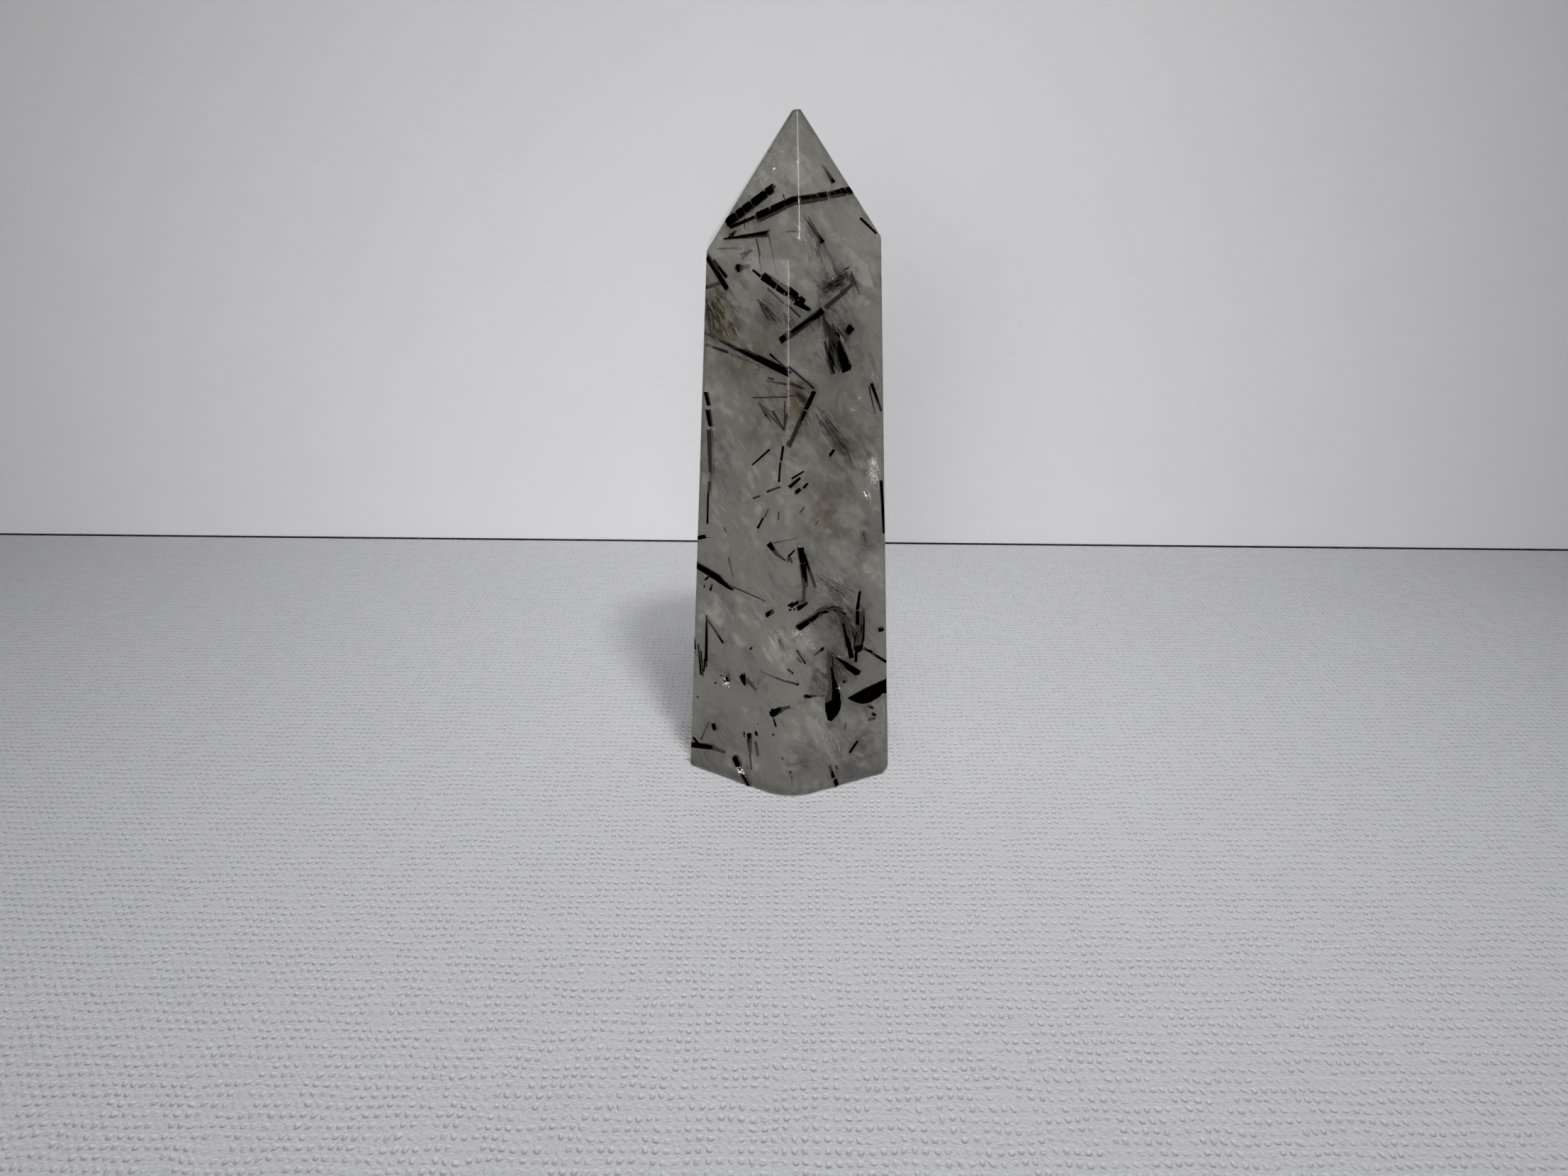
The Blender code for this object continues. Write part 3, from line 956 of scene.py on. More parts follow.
lowerNeedles = {
    "seed": 13,
    "needles": {
        "dashA": ((1082, 694), (1101, 687), (0.33, 0.28), (0.07, 0.41)),
        "dashASoft": ((1063, 703), (1073, 699), (0.33, 0.26), (0.54, 0.54)),
        "dashB": ((1117, 675), (1134, 665), (0.28, 0.26), (0.05, 0.05)),
        "dashC": ((1114, 687), (1129, 674), (0.56, 0.37), (0.05, 0.10)),
        "dashD": ((1123, 695), (1129, 690), (0.56, 0.51), (0.04, 0.07)),
        "dashE": ((1133, 689), (1139, 682), (0.44, 0.36), (0.04, 0.07)),
        "dashF": ((1069, 745), (1077, 730), (0.38, 0.31), (0.05, 0.07)),
        "dashFSoft": ((1079, 729), (1084, 718), (0.26, 0.20), (0.48, 0.61)),
        "dashG": ((1099, 722), (1098, 734), (0.23, 0.23), (0.48, 0.41)),
        "dashH": ((1128, 724), (1135, 715), (0.20, 0.20), (0.34, 0.34)),
        "dashI": ((1150, 741), (1155, 733), (0.20, 0.18), (0.48, 0.48)),
        "rightBlack": ((1243, 678), (1247, 752), (0.46, 0.44), (0.07, 0.07)),
        "leftTick": ((983, 759), (995, 757), (0.59, 0.54), (0.07, 0.05)),
        "leftTickThin": ((995, 758), (1001, 758), (0.20, 0.15), (0.07, 0.14)),
        "longThin": ((1027, 825), (1079, 848), (0.28, 0.18), (0.24, 0.10)),
        "prong": ((995, 818), (1001, 812), (0.38, 0.28), (0.07, 0.10)),
        "specks": ((993, 829), (994, 825), (0.28, 0.23), (0.05, 0.07)),
        "smallStroke": ((1002, 833), (1005, 824), (0.41, 0.33), (0.05, 0.20)),
        "cometTail": ((1095, 781), (1108, 791), (0.60, 0.30), (0.38, 0.46)),
        "cometHair": ((1091, 766), (1124, 759), (0.18, 0.13), (0.27, 0.68)),
        "tickRight": ((1112, 785), (1121, 776), (0.36, 0.26), (0.07, 0.08)),
        "tickSoft": ((1111, 787), (1117, 794), (0.44, 0.33), (0.68, 0.95)),
        "pillarBranch": ((1134, 782), (1150, 828), (0.55, 0.42), (0.16, 0.32)),
        "pillarTail": ((1135, 824), (1134, 852), (0.50, 0.42), (0.44, 0.42)),
        "strokeA": ((1112, 855), (1119, 850), (0.42, 0.36), (0.05, 0.10)),
        "strokeB": ((1116, 856), (1126, 848), (0.48, 0.38), (0.05, 0.17)),
        "strokeD": ((1123, 853), (1133, 846), (0.38, 0.30), (0.10, 0.36)),
        "dotA": ((1113, 861), (1116, 860), (0.28, 0.23), (0.02, 0.07)),
        "dotB": ((1120, 860), (1122, 859), (0.26, 0.20), (0.02, 0.07)),
        "spike": ((1213, 834), (1209.5, 860), (0.43, 0.52), (0.14, 0.07)),
        "spikeLower": ((1209.5, 862), (1209, 881), (0.54, 0.67), (0.10, 0.17)),
        "fanStub": ((1207.5, 920), (1207, 934), (0.50, 0.45), (0.05, 0.05)),
        "fanProng": ((1190, 880), (1201, 928), (0.54, 0.78), (0.44, 0.06)),
        "fanProngTop": ((1181, 860), (1192, 887), (0.50, 0.55), (0.46, 0.44)),
        "softSlant": ((1151, 811), (1174, 832), (0.44, 0.33), (1.09, 1.36)),
        "faintLeft": ((1021, 744), (1025, 752), (0.44, 0.38), (1.09, 1.09)),
        "faintLeftLow": ((1028, 786), (1034, 814), (0.38, 0.31), (1.09, 1.22)),
        "speck": ((1058, 916), (1061, 913), (0.36, 0.31), (0.02, 0.14)),
    },
    "bundles": {
        "thickLeft": ((982, 796), (1017, 817), (0.95, 1.05), (0.25, 0.18), 6, 1),
        "thickLeftEnd": ((1012, 815), (1034, 832), (0.90, 0.36), (0.20, 0.15), 5, 0),
        "pillar": ((1129, 773), (1136, 828), (1.00, 0.80), (0.10, 0.43), 8, 1),
        "comet": ((1085, 767), (1096, 782), (0.85, 0.55), (0.05, 0.40), 5, 0),
        "stub": ((1081, 869), (1092, 862), (0.62, 0.66), (0.10, 0.40), 4, 0),
        "roundRight": ((1240, 889), (1245, 887), (0.70, 0.62), (0.10, 0.30), 4, 0),
        "strokeC": ((1126, 859), (1138, 850), (0.66, 0.58), (0.05, 0.36), 4, 0),
        "arm": ((1126, 886), (1163, 860), (1.02, 0.86), (0.10, 0.42), 9, 1),
    },
    "sprays": {
        "armArch": ((1150, 864), (1176, 857), 0.34, 0.28, (0.34, 0.40), 24),
        "archTurn": ((1172, 857), (1190, 868), 0.34, 0.26, (0.40, 0.40), 24),
        "fanLeft": ((1184, 860), (1201, 926), 0.30, 0.26, (0.42, 0.20), 24),
        "fanRight": ((1216, 860), (1213, 914), 0.40, 0.30, (0.42, 0.22), 26),
        "fanBack": ((1190, 862), (1208, 915), 0.55, 0.15, (0.46, 0.40), 24),
        "smokeDiagonal": ((1152, 812), (1212, 850), 0.60, 0.10, (0.46, 0.46), 18),
        "softSpot": ((1216, 748), (1221, 764), 0.32, 0.12, (0.46, 0.44), 8),
        "softLow": ((1098, 898), (1112, 928), 0.28, 0.11, (0.44, 0.42), 8),
    },
    "shards": {
        "fanBlade": (((1208, 880, 0.45), (1213, 874, 0.44), (1218, 884, 0.40), (1218, 898, 0.30),
                      (1217.5, 910, -0.05), (1216, 919, -0.15), (1209, 923, -0.15), (1205, 918, -0.15),
                      (1205, 904, 0.20), (1206, 890, 0.40)), 0.8),
    },
}

footNeedles = {
    "seed": 21,
    "needles": {
        "leftTall": ((997, 868), (996, 932), (0.39, 0.56), (0.20, 0.05)),
        "leftTallEnd": ((994, 930), (993, 947), (0.33, 0.26), (0.05, 0.05)),
        "leftTallEndTwin": ((997, 930), (996, 942), (0.28, 0.23), (0.05, 0.05)),
        "leftSecond": ((985, 909), (989, 952), (0.33, 0.38), (0.14, 0.05)),
        "leftSecondTwin": ((989, 918), (992, 954), (0.26, 0.20), (0.07, 0.05)),
        "leftBranch": ((998, 874), (1020, 907), (0.33, 0.46), (0.41, 0.10)),
        "leftRim": ((979, 900), (981, 916), (0.38, 0.36), (0.07, 0.07)),
        "thinCentre": ((1094, 956), (1110, 962), (0.33, 0.28), (0.61, 0.34)),
        "thinCentreEnd": ((1110, 961), (1127, 966), (0.33, 0.36), (0.14, 0.05)),
        "thinCentreFaint": ((1074, 947), (1094, 956), (0.18, 0.20), (0.95, 0.68)),
        "short": ((1111, 944), (1119, 950), (0.31, 0.28), (0.07, 0.07)),
        "slantShort": ((1124, 917), (1136, 936), (0.33, 0.28), (0.34, 0.07)),
        "slantFaint": ((1124, 928), (1131, 935), (0.26, 0.23), (0.82, 0.82)),
        "towardsRight": ((1217, 914), (1230, 920), (0.49, 0.43), (0.27, 0.07)),
        "towardsRightEnd": ((1230, 921), (1251, 934), (0.41, 0.44), (0.20, 0.05)),
        "beforeHorn": ((1162, 914), (1149, 924), (0.56, 0.26), (0.07, 0.41)),
        "underDark": ((1189, 962), (1194, 960), (0.54, 0.43), (0.05, 0.41)),
        "levelLow": ((1135, 982), (1144, 983), (0.54, 0.46), (0.04, 0.17)),
        "levelLowEnd": ((1142, 982), (1163, 981), (0.46, 0.33), (0.34, 0.95)),
        "hookTop": ((1098, 1001), (1114, 997), (0.62, 0.45), (0.34, 0.46)),
        "hookDot": ((1088, 1002), (1091, 1000), (0.38, 0.31), (0.02, 0.14)),
        "hookHair": ((1091, 1013), (1095, 1025), (0.31, 0.36), (0.14, 0.05)),
        "ovalDot": ((1006, 1021), (1009, 1030), (0.80, 0.76), (0.05, 0.05)),
        "leanLeft": ((1000, 1018), (989, 1043), (0.18, 0.26), (0.41, 0.05)),
        "leftLevel": ((975, 1050), (1007, 1054), (0.95, 0.95), (0.18, 0.34)),
        "leftLevelEnd": ((1003, 1053), (1023, 1061), (0.90, 0.55), (0.36, 0.48)),
        "leftLevelUp": ((978, 1040), (986, 1050), (0.46, 0.56), (0.07, 0.14)),
        "clusterLeft": ((1050, 1033), (1050, 1040), (0.32, 0.28), (0.05, 0.20)),
        "clusterRight": ((1066, 1032), (1068, 1038), (0.50, 0.44), (0.04, 0.07)),
        "clusterSoft": ((1057, 1045), (1058, 1061), (0.85, 0.60), (0.40, 0.46)),
        "clusterThread": ((1058, 1060), (1060, 1086), (0.34, 0.30), (0.42, 0.38)),
        "clusterThreadRight": ((1066, 1046), (1069, 1066), (0.45, 0.44), (0.40, 0.20)),
        "clusterThreadLeft": ((1053, 1071), (1054, 1085), (0.23, 0.20), (0.61, 0.48)),
        "rightPair": ((1170, 1080), (1176, 1097), (0.43, 0.63), (0.41, 0.05)),
        "rightPairEnd": ((1178, 1100), (1181, 1109), (0.63, 0.59), (0.04, 0.07)),
        "rightPairSmall": ((1179, 1080), (1182, 1086), (0.41, 0.33), (0.54, 0.41)),
        "rightSlash": ((1198, 1062), (1210, 1045), (0.44, 0.41), (0.04, 0.07)),
        "rightTick": ((1224, 996), (1232, 999), (0.36, 0.41), (0.27, 0.04)),
        "rightDot": ((1231, 1007), (1235, 1009), (0.52, 0.43), (0.03, 0.20)),
        "rightDotSoft": ((1225, 1015), (1235, 1013), (0.51, 0.38), (0.75, 0.54)),
        "softUpright": ((1193, 1020), (1192, 1031), (0.26, 0.23), (0.54, 0.54)),
        "dotA": ((1090, 1036), (1092, 1037), (0.38, 0.31), (0.02, 0.20)),
        "dotB": ((1115, 1088), (1115, 1091), (0.33, 0.26), (0.02, 0.20)),
        "dotC": ((1103, 1069), (1105, 1072), (0.31, 0.23), (0.20, 0.41)),
        "dotD": ((1069, 1021), (1070, 1022), (0.23, 0.18), (0.02, 0.14)),
        "dotE": ((983, 982), (985, 984), (0.38, 0.31), (0.41, 0.61)),
        "dotF": ((1009, 964), (1010, 962), (0.38, 0.31), (0.02, 0.14)),
        "dotG": ((1017, 952), (1018, 954), (0.31, 0.23), (0.02, 0.14)),
        "dotH": ((1027, 951), (1029, 950), (0.33, 0.26), (0.20, 0.34)),
        "faintStem": ((1116, 1094), (1117, 1108), (0.26, 0.20), (0.82, 0.82)),
        "faintLine": ((993, 1062), (1003, 1077), (0.20, 0.15), (0.75, 0.75)),
        "blobTail": ((1051, 957), (1061, 966), (0.70, 0.45), (0.34, 0.46)),
    },
    "bundles": {
        "squareEnd": ((1175, 925), (1211.5, 950), (0.75, 1.00), (0.42, 0.12), 7, 0),
        "hornColumn": ((1171, 924), (1178, 990), (1.00, 1.80), (0.72, 0.40), 13, 2),
        "hookStem": ((1087, 1008), (1103, 1000), (0.92, 0.84), (0.08, 0.34), 6, 0),
        "clusterMiddle": ((1057, 1035), (1058, 1047), (0.72, 0.62), (0.08, 0.38), 5, 0),
        "blob": ((1047, 953), (1051, 966), (1.10, 0.50), (0.08, 0.30), 6, 0),
        "upperPitNeedle": ((1025, 953), (1028, 961), (0.90, 0.75), (0.40, 0.46), 5, 0),
        "pitNeedle": ((1037, 1067), (1043, 1080), (1.15, 1.30), (0.24, 0.40), 7, 0),
        "pitNeedleEnd": ((1048, 1093), (1057, 1108), (1.20, 0.95), (0.44, 0.38), 7, 0),
    },
    "sprays": {
        "hornSmoke": ((1168, 918), (1178, 978), 0.62, 0.18, (0.44, 0.42), 38),
        "softPatch": ((1055, 960), (1068, 975), 0.45, 0.10, (0.46, 0.46), 14),
        "wavy": ((1106, 1080), (1150, 1070), 0.50, 0.09, (0.46, 0.46), 14),
    },
    "shards": {
        "bigBlade": (((1194.5, 985.5, -0.15), (1210, 977, -0.15), (1226, 969, -0.15), (1238, 963, -0.15),
                      (1252, 957, -0.15), (1252, 978, -0.15), (1245, 979.5, -0.15), (1241.5, 984, -0.15),
                      (1229, 991, -0.15), (1222, 993.5, -0.15), (1215, 993.5, -0.15),
                      (1206, 991.5, -0.15)), 1.4),
        "hornTip": (((1164.5, 984, 0.35), (1172, 966, 0.50), (1184, 966, 0.45), (1186, 983, -0.15),
                     (1187.5, 991, -0.15), (1186.5, 999, -0.15), (1182, 1009, -0.15), (1173, 1018.5, -0.15),
                     (1167.5, 1017, -0.15), (1165, 1007, -0.15), (1163.5, 995, -0.15)), 1.2),
    },
}

growths = {
    "tipNeedles": tipNeedles,
    "upperNeedles": upperNeedles,
    "middleNeedles": middleNeedles,
    "lowerNeedles": lowerNeedles,
    "footNeedles": footNeedles,
}
for growthName, growth in growths.items():
    grownPiece(growthName, growth, blackTourmaline)


# The sides that the photograph doesn't show have needles of the same kinds, scattered
farNeedles = {
    "seed": 55,
    "looks": (82.0, 278.0),       # degrees from -Y towards +X
    "levels": (3.0, 80.0),        # millimetres
    "halfWide": 13.0,             # of the stone, to turn a sideways length into degrees
    "singles": 150,
    "lengths": (1.2, 12.0),
    "shortOnes": 1.7,             # the higher these two, the more needles are short, and thin
    "thinOnes": 2.4,
    "wides": (0.12, 0.85),
    "tapers": (0.5, 1.0),
    "crisp": (0.02, 0.35),        # depths of the ends that are ground, and of those that aren't
    "sunk": (1.2, 4.5),
    "sunkShare": 0.4,
    "bundles": 16,
    "bundleWides": (0.8, 1.4),    # against the widest single
    "bundleTaper": 0.85,
    "bundleLength": 4.0,          # at least
    "fibres": (4, 9),
    "cracks": (0, 3),
    "sprays": 18,
    "sprayLength": 3.0,
    "sprayDepths": (1.5, 4.0),
    "spreads": (0.2, 0.8),
    "hairWide": 0.22,
    "hairs": (8, 18),
}


def farEnds(chance, shortest):
    plan = farNeedles
    looks, level = chance.uniform(*plan["looks"]), chance.uniform(*plan["levels"])
    slope = chance.uniform(0.0, math.pi)
    length = max(shortest, plan["lengths"][1] * chance.random() ** plan["shortOnes"])
    nextLevel = min(max(level + length * math.sin(slope), plan["levels"][0]), plan["levels"][1])
    nextLooks = looks + math.degrees(length * math.cos(slope) / plan["halfWide"])
    nextLooks = min(max(nextLooks, plan["looks"][0]), plan["looks"][1])
    sunk = plan["sunk"] if chance.random() < plan["sunkShare"] else plan["crisp"]
    deeps = chance.uniform(*plan["crisp"]), chance.uniform(*sunk)
    return underFace(looks, level, deeps[0]), underFace(nextLooks, nextLevel, deeps[1])


def buildFarNeedles():
    plan = farNeedles
    chance = random.Random(plan["seed"])
    grown = newGrowth()
    thin, thick = plan["wides"]
    for single in range(plan["singles"]):
        start, end = farEnds(chance, plan["lengths"][0])
        wide = thin + (thick - thin) * chance.random() ** plan["thinOnes"]
        addNeedle(grown, start, end, (wide, wide * chance.uniform(*plan["tapers"])), chance)
    for bundle in range(plan["bundles"]):
        start, end = farEnds(chance, plan["bundleLength"])
        wide = thick * chance.uniform(*plan["bundleWides"])
        fibres, cracks = chance.randint(*plan["fibres"]), chance.randint(*plan["cracks"])
        addBundle(grown, start, end, (wide, wide * plan["bundleTaper"]), fibres, cracks, chance)
    for spray in range(plan["sprays"]):
        start, end = farEnds(chance, plan["sprayLength"])
        inward = inwardAt(start) * chance.uniform(*plan["sprayDepths"]) * millimetre
        spread, hairs = chance.uniform(*plan["spreads"]), chance.randint(*plan["hairs"])
        addSpray(grown, start + inward, end + inward * 0.5, spread, plan["hairWide"], hairs, chance)
    return finishGrowth("farNeedles", grown, "tourmaline", blackTourmaline)


buildFarNeedles()


# Pale things in the quartz: healed cracks full of tiny flakes, fine threads, and bright chips; the chips
# named glint are painted glints
paleFlecks = {
    "seed": 34,
    "flatness": 0.22,
    "flakeSizes": (0.4, 1.3),
    "flakeTaper": 0.6,
    "fade": (0.5, 0.45),      # how fast a cloud thins out, along it and across
    "leastDeep": 0.06,        # mm under the polish
    "stray": 0.05,
    "chipSize": 1.4,          # chips are cut down by the polish, so they start larger
    "mottleScale": 900.0,
    "gloss": (0.15, 0.45),
    "flakeColours": ((0.55, 0.55, 0.53), (0.86, 0.86, 0.85)),
    "threadColours": ((0.22, 0.22, 0.21), (0.42, 0.42, 0.41)),
    "clouds": {    # middle pixel, half sizes in pixels, lean, depth and its rise in mm, flakes, their size
        "tipCloud": ((1083, 246), (24, 10), -28.0, (0.30, 0.10), 110, 0.09),
        "tipEdge": ((1090, 222), (10, 4), -50.0, (0.5, 0.2), 26, 0.08),
        "tipRight": ((1128, 227), (5, 4), 0.0, (0.5, 0.1), 16, 0.10),
        "underTip": ((1126, 333), (7, 5), 30.0, (0.4, 0.1), 26, 0.11),
        "shoulder": ((1190, 350), (26, 14), 60.0, (0.9, 0.4), 60, 0.09),
        "beforeFan": ((1150, 400), (30, 12), 65.0, (2.6, 0.8), 80, 0.10),
        "rightSpot": ((1213, 563), (5, 4), 0.0, (0.3, 0.1), 22, 0.10),
        "rightSpotLow": ((1203, 578), (5, 4), 0.0, (0.3, 0.1), 20, 0.10),
        "rightSpotHigh": ((1234, 533), (6, 4), 40.0, (0.3, 0.1), 22, 0.10),
        "rightCloud": ((1231, 668), (20, 8), 78.0, (0.10, 0.03), 420, 0.11),
        "rightCloudTop": ((1233, 652), (9, 5), 60.0, (0.09, 0.02), 150, 0.13),
        "rightCloudTail": ((1226, 700), (16, 5), 80.0, (0.10, 0.03), 120, 0.10),
        "leftVeil": ((1030, 610), (44, 12), 55.0, (2.4, 1.0), 90, 0.09),
        "middleVeil": ((1120, 700), (40, 16), 40.0, (2.8, 1.0), 110, 0.09),
        "slantVeil": ((1176, 826), (40, 14), 48.0, (0.30, 0.10), 190, 0.08),
        "underArm": ((1126, 893), (11, 5), -25.0, (0.16, 0.05), 70, 0.12),
        "belowArm": ((1146, 912), (12, 5), 40.0, (0.20, 0.05), 60, 0.10),
        "besideHorn": ((1183, 968), (6, 3), 60.0, (0.08, 0.02), 26, 0.12),
        "overSquare": ((1184, 928), (8, 3), 20.0, (0.08, 0.02), 26, 0.12),
        "rightVeil": ((1222, 800), (40, 9), 85.0, (0.24, 0.10), 130, 0.08),
        "footVeil": ((1168, 1046), (24, 9), 70.0, (0.30, 0.10), 130, 0.09),
        "footVeilLeft": ((1050, 1000), (34, 10), 20.0, (0.40, 0.10), 80, 0.09),
        "footPitCrumbs": ((1045, 1089), (7, 4), 35.0, (0.04, 0.01), 34, 0.13),
        "upperPitCrumbs": ((1022, 966), (6, 3), 20.0, (0.04, 0.01), 16, 0.13),
        "footLow": ((1110, 1100), (40, 8), 5.0, (1.6, 0.6), 80, 0.09),
    },
    "threads": {   # root and tip, spread and width in mm, depths, number
        "tipThreads": ((1076, 238), (1100, 262), 0.7, 0.06, (0.34, 0.42), 14),
        "shoulderThreads": ((1150, 330), (1186, 420), 1.1, 0.06, (0.42, 0.46), 24),
        "fanThreads": ((1128, 300), (1140, 372), 0.6, 0.06, (0.38, 0.42), 12),
        "oliveThreads": ((1006, 420), (1058, 505), 0.8, 0.06, (0.42, 0.46), 16),
        "elbowThreads": ((1122, 558), (1144, 604), 0.35, 0.08, (0.30, 0.36), 9),
        "leftThreads": ((1010, 560), (1060, 660), 1.2, 0.07, (1.6, 2.4), 22),
        "warmThreads": ((1150, 560), (1216, 690), 1.3, 0.06, (0.42, 0.46), 24),
        "middleThreads": ((1020, 690), (1080, 790), 1.3, 0.07, (1.8, 2.6), 20),
        "slantThreads": ((1146, 792), (1206, 862), 0.9, 0.07, (0.36, 0.42), 30),
        "lowThreads": ((1060, 850), (1110, 930), 1.2, 0.06, (0.42, 0.46), 20),
        "footThreads": ((1150, 1010), (1180, 1080), 0.8, 0.07, (0.38, 0.44), 20),
        "squiggle": ((1045, 788), (1054, 777), 0.08, 0.09, (0.3, 0.3), 3),
    },
    "chips": {     # pixel, depth and size in mm
        # the chips named glint are pale flakes put where glints show: their pale colour is a painted
        # highlight
        "wedgeGlint": ((1031, 332), 0.02, 0.26),
        "stepGlint": ((1126, 423), 0.02, 0.30),
        "pillarCap": ((1128, 771), 0.03, 0.42),
        "leftTip": ((998, 757), 0.03, 0.30),
        "cloudGlint": ((1220, 696), 0.05, 0.36),
        "hornGlint": ((1184, 971), 0.02, 0.24),
        "hornGlintLeft": ((1160, 970), 0.02, 0.18),
        "pitGlint": ((1020, 966), 0.03, 0.22),
        "pitGlintRight": ((1028, 969), 0.03, 0.20),
        "tipFleckA": ((1084, 238), 0.2, 0.26),
        "tipFleckB": ((1092, 238), 0.2, 0.22),
        "tipFleckC": ((1103, 214), 0.2, 0.20),
        "tipFleckD": ((1067, 251), 0.2, 0.24),
        "cloudGlintLow": ((1221, 699), 0.03, 0.34),
        "cloudGlintHigh": ((1219, 694), 0.03, 0.30),
    },
    "farClouds": 26,
    "farFlakes": 70,
    "farHalves": (2.0, 0.6),      # millimetres along a cloud and across it
    "farDegrees": 4.4,            # round the stone for a millimetre sideways
    "farLevels": (1.0, 82.0),
    "farDepths": (0.6, 2.4),
    "farSlope": 0.2,              # rise along a cloud, if it lies deeper than the next value
    "farSlopeFrom": 1.0,
    "farSize": 0.1,
    "farThreads": 22,
    "farThreadLength": 5.0,
    "farThreadDepths": (0.8, 2.4),
    "farThreadSpreads": (0.6, 1.2),
    "farThreadWide": 0.07,
    "farThreadHairs": 30,
    "wispHalves": (0.04, 0.13),   # half a streak's length, as a share of its line
    "wispTurn": 0.15,
    "wispWides": (0.5, 1.2),
    "wispTaper": 0.6,
}


def addFlake(cloud, place, size, chance, margin=1.0):
    turn = Matrix.Rotation(chance.uniform(0, math.tau), 4, anyWay(chance))
    radius = 0.5 * size * chance.uniform(*paleFlecks["flakeSizes"]) * millimetre
    if not isUnder(place, radius * margin):
        return
    bmesh.ops.create_cone(
        cloud, cap_ends=True, segments=5, radius1=radius, radius2=radius * paleFlecks["flakeTaper"],
        depth=radius * paleFlecks["flatness"] * 2.0, matrix=Matrix.Translation(place) @ turn,
    )


def addCloud(flakes, middle, halves, lean, deeps, count, size, chance):
    # a healed crack as the photograph shows it
    tilt = math.radians(lean)
    cloud = bmesh.new()
    for flake in range(count):
        along, aside = [chance.gauss(0, fade) for fade in paleFlecks["fade"]]
        across = along * halves[0] * math.cos(tilt) - aside * halves[1] * math.sin(tilt)
        down = along * halves[0] * math.sin(tilt) + aside * halves[1] * math.cos(tilt)
        under = deeps[0] + deeps[1] * along + chance.gauss(0, paleFlecks["stray"])
        under = max(paleFlecks["leastDeep"], under)
        addFlake(cloud, seenAt((middle[0] + across, middle[1] + down), under), size, chance)
    joinInto(flakes, cloud)


def addFarCloud(flakes, chance):
    # one on a side that the photograph doesn't show
    plan = paleFlecks
    cloud = bmesh.new()
    looks, level = chance.uniform(*farNeedles["looks"]), chance.uniform(*farNeedles["levels"])
    lean, deep = chance.uniform(0, math.pi), chance.uniform(*plan["farDepths"])
    for flake in range(plan["farFlakes"]):
        along, aside = [chance.gauss(0, half) for half in plan["farHalves"]]
        across = along * math.cos(lean) - aside * math.sin(lean)
        up = along * math.sin(lean) + aside * math.cos(lean)
        rise = min(max(level + up, plan["farLevels"][0]), plan["farLevels"][1])
        under = deep + plan["farSlope"] * along if deep > plan["farSlopeFrom"] else deep
        addFlake(cloud, underFace(looks + across * plan["farDegrees"], rise, under), plan["farSize"], chance)
    joinInto(flakes, cloud)


def addWisps(grown, root, tip, spread, wide, hairs, chance):
    # short streaks, strewn along a line
    form = paleFlecks
    along = tip - root
    for hair in range(hairs):
        stray = anyWay(chance) * spread * millimetre
        middle = root + along * chance.random() + stray
        half = along * chance.uniform(*form["wispHalves"])
        half += stray * chance.uniform(-form["wispTurn"], form["wispTurn"])
        thick = wide * chance.uniform(*form["wispWides"])
        if isUnder(middle, thick * millimetre):
            addNeedle(grown, middle - half, middle + half, (thick, thick * form["wispTaper"]), chance)


def paleMaterial(name, dim, bright):
    made, tree, shader = newMaterial(name)
    warm = useGroup(tree, clouds, ownPlace(tree), Scale=paleFlecks["mottleScale"])
    tree.links.new(mixColours(tree, warm, dim, bright), shader.inputs["Base Color"])
    tree.links.new(rangeOf(tree, warm, 0.0, 1.0, *paleFlecks["gloss"]), shader.inputs["Roughness"])
    return made


def buildPaleFlecks():
    plan = paleFlecks
    chance = random.Random(plan["seed"])
    flakes = bmesh.new()
    for cloud in plan["clouds"].values():
        addCloud(flakes, *cloud, chance)
    for pixel, deep, size in plan["chips"].values():
        chip = bmesh.new()
        addFlake(chip, seenAt(pixel, deep), size * plan["chipSize"], chance, margin=0.0)
        grindFlush(chip)
        joinInto(flakes, chip)
    for far in range(plan["farClouds"]):
        addFarCloud(flakes, chance)
    for face in flakes.faces:
        face.smooth = False
    piece = rootPiece("paleFlecks", flakes, "quartz", paleMaterial("paleFlakes", *plan["flakeColours"]))
    print("pale flecks:", len(piece.data.polygons), "faces")
    grown = newGrowth()
    for root, tip, spread, wide, deeps, hairs in plan["threads"].values():
        addWisps(grown, seenAt(root, deeps[0]), seenAt(tip, deeps[1]), spread, wide, hairs * 2, chance)
    for thread in range(plan["farThreads"]):
        start, end = farEnds(chance, plan["farThreadLength"])
        inward = inwardAt(start) * chance.uniform(*plan["farThreadDepths"]) * millimetre
        spread, wide = chance.uniform(*plan["farThreadSpreads"]), plan["farThreadWide"]
        addWisps(grown, start + inward, end + inward, spread, wide, plan["farThreadHairs"], chance)
    finishGrowth("paleThreads", grown, "quartz", paleMaterial("paleThreads", *plan["threadColours"]))


buildPaleFlecks()


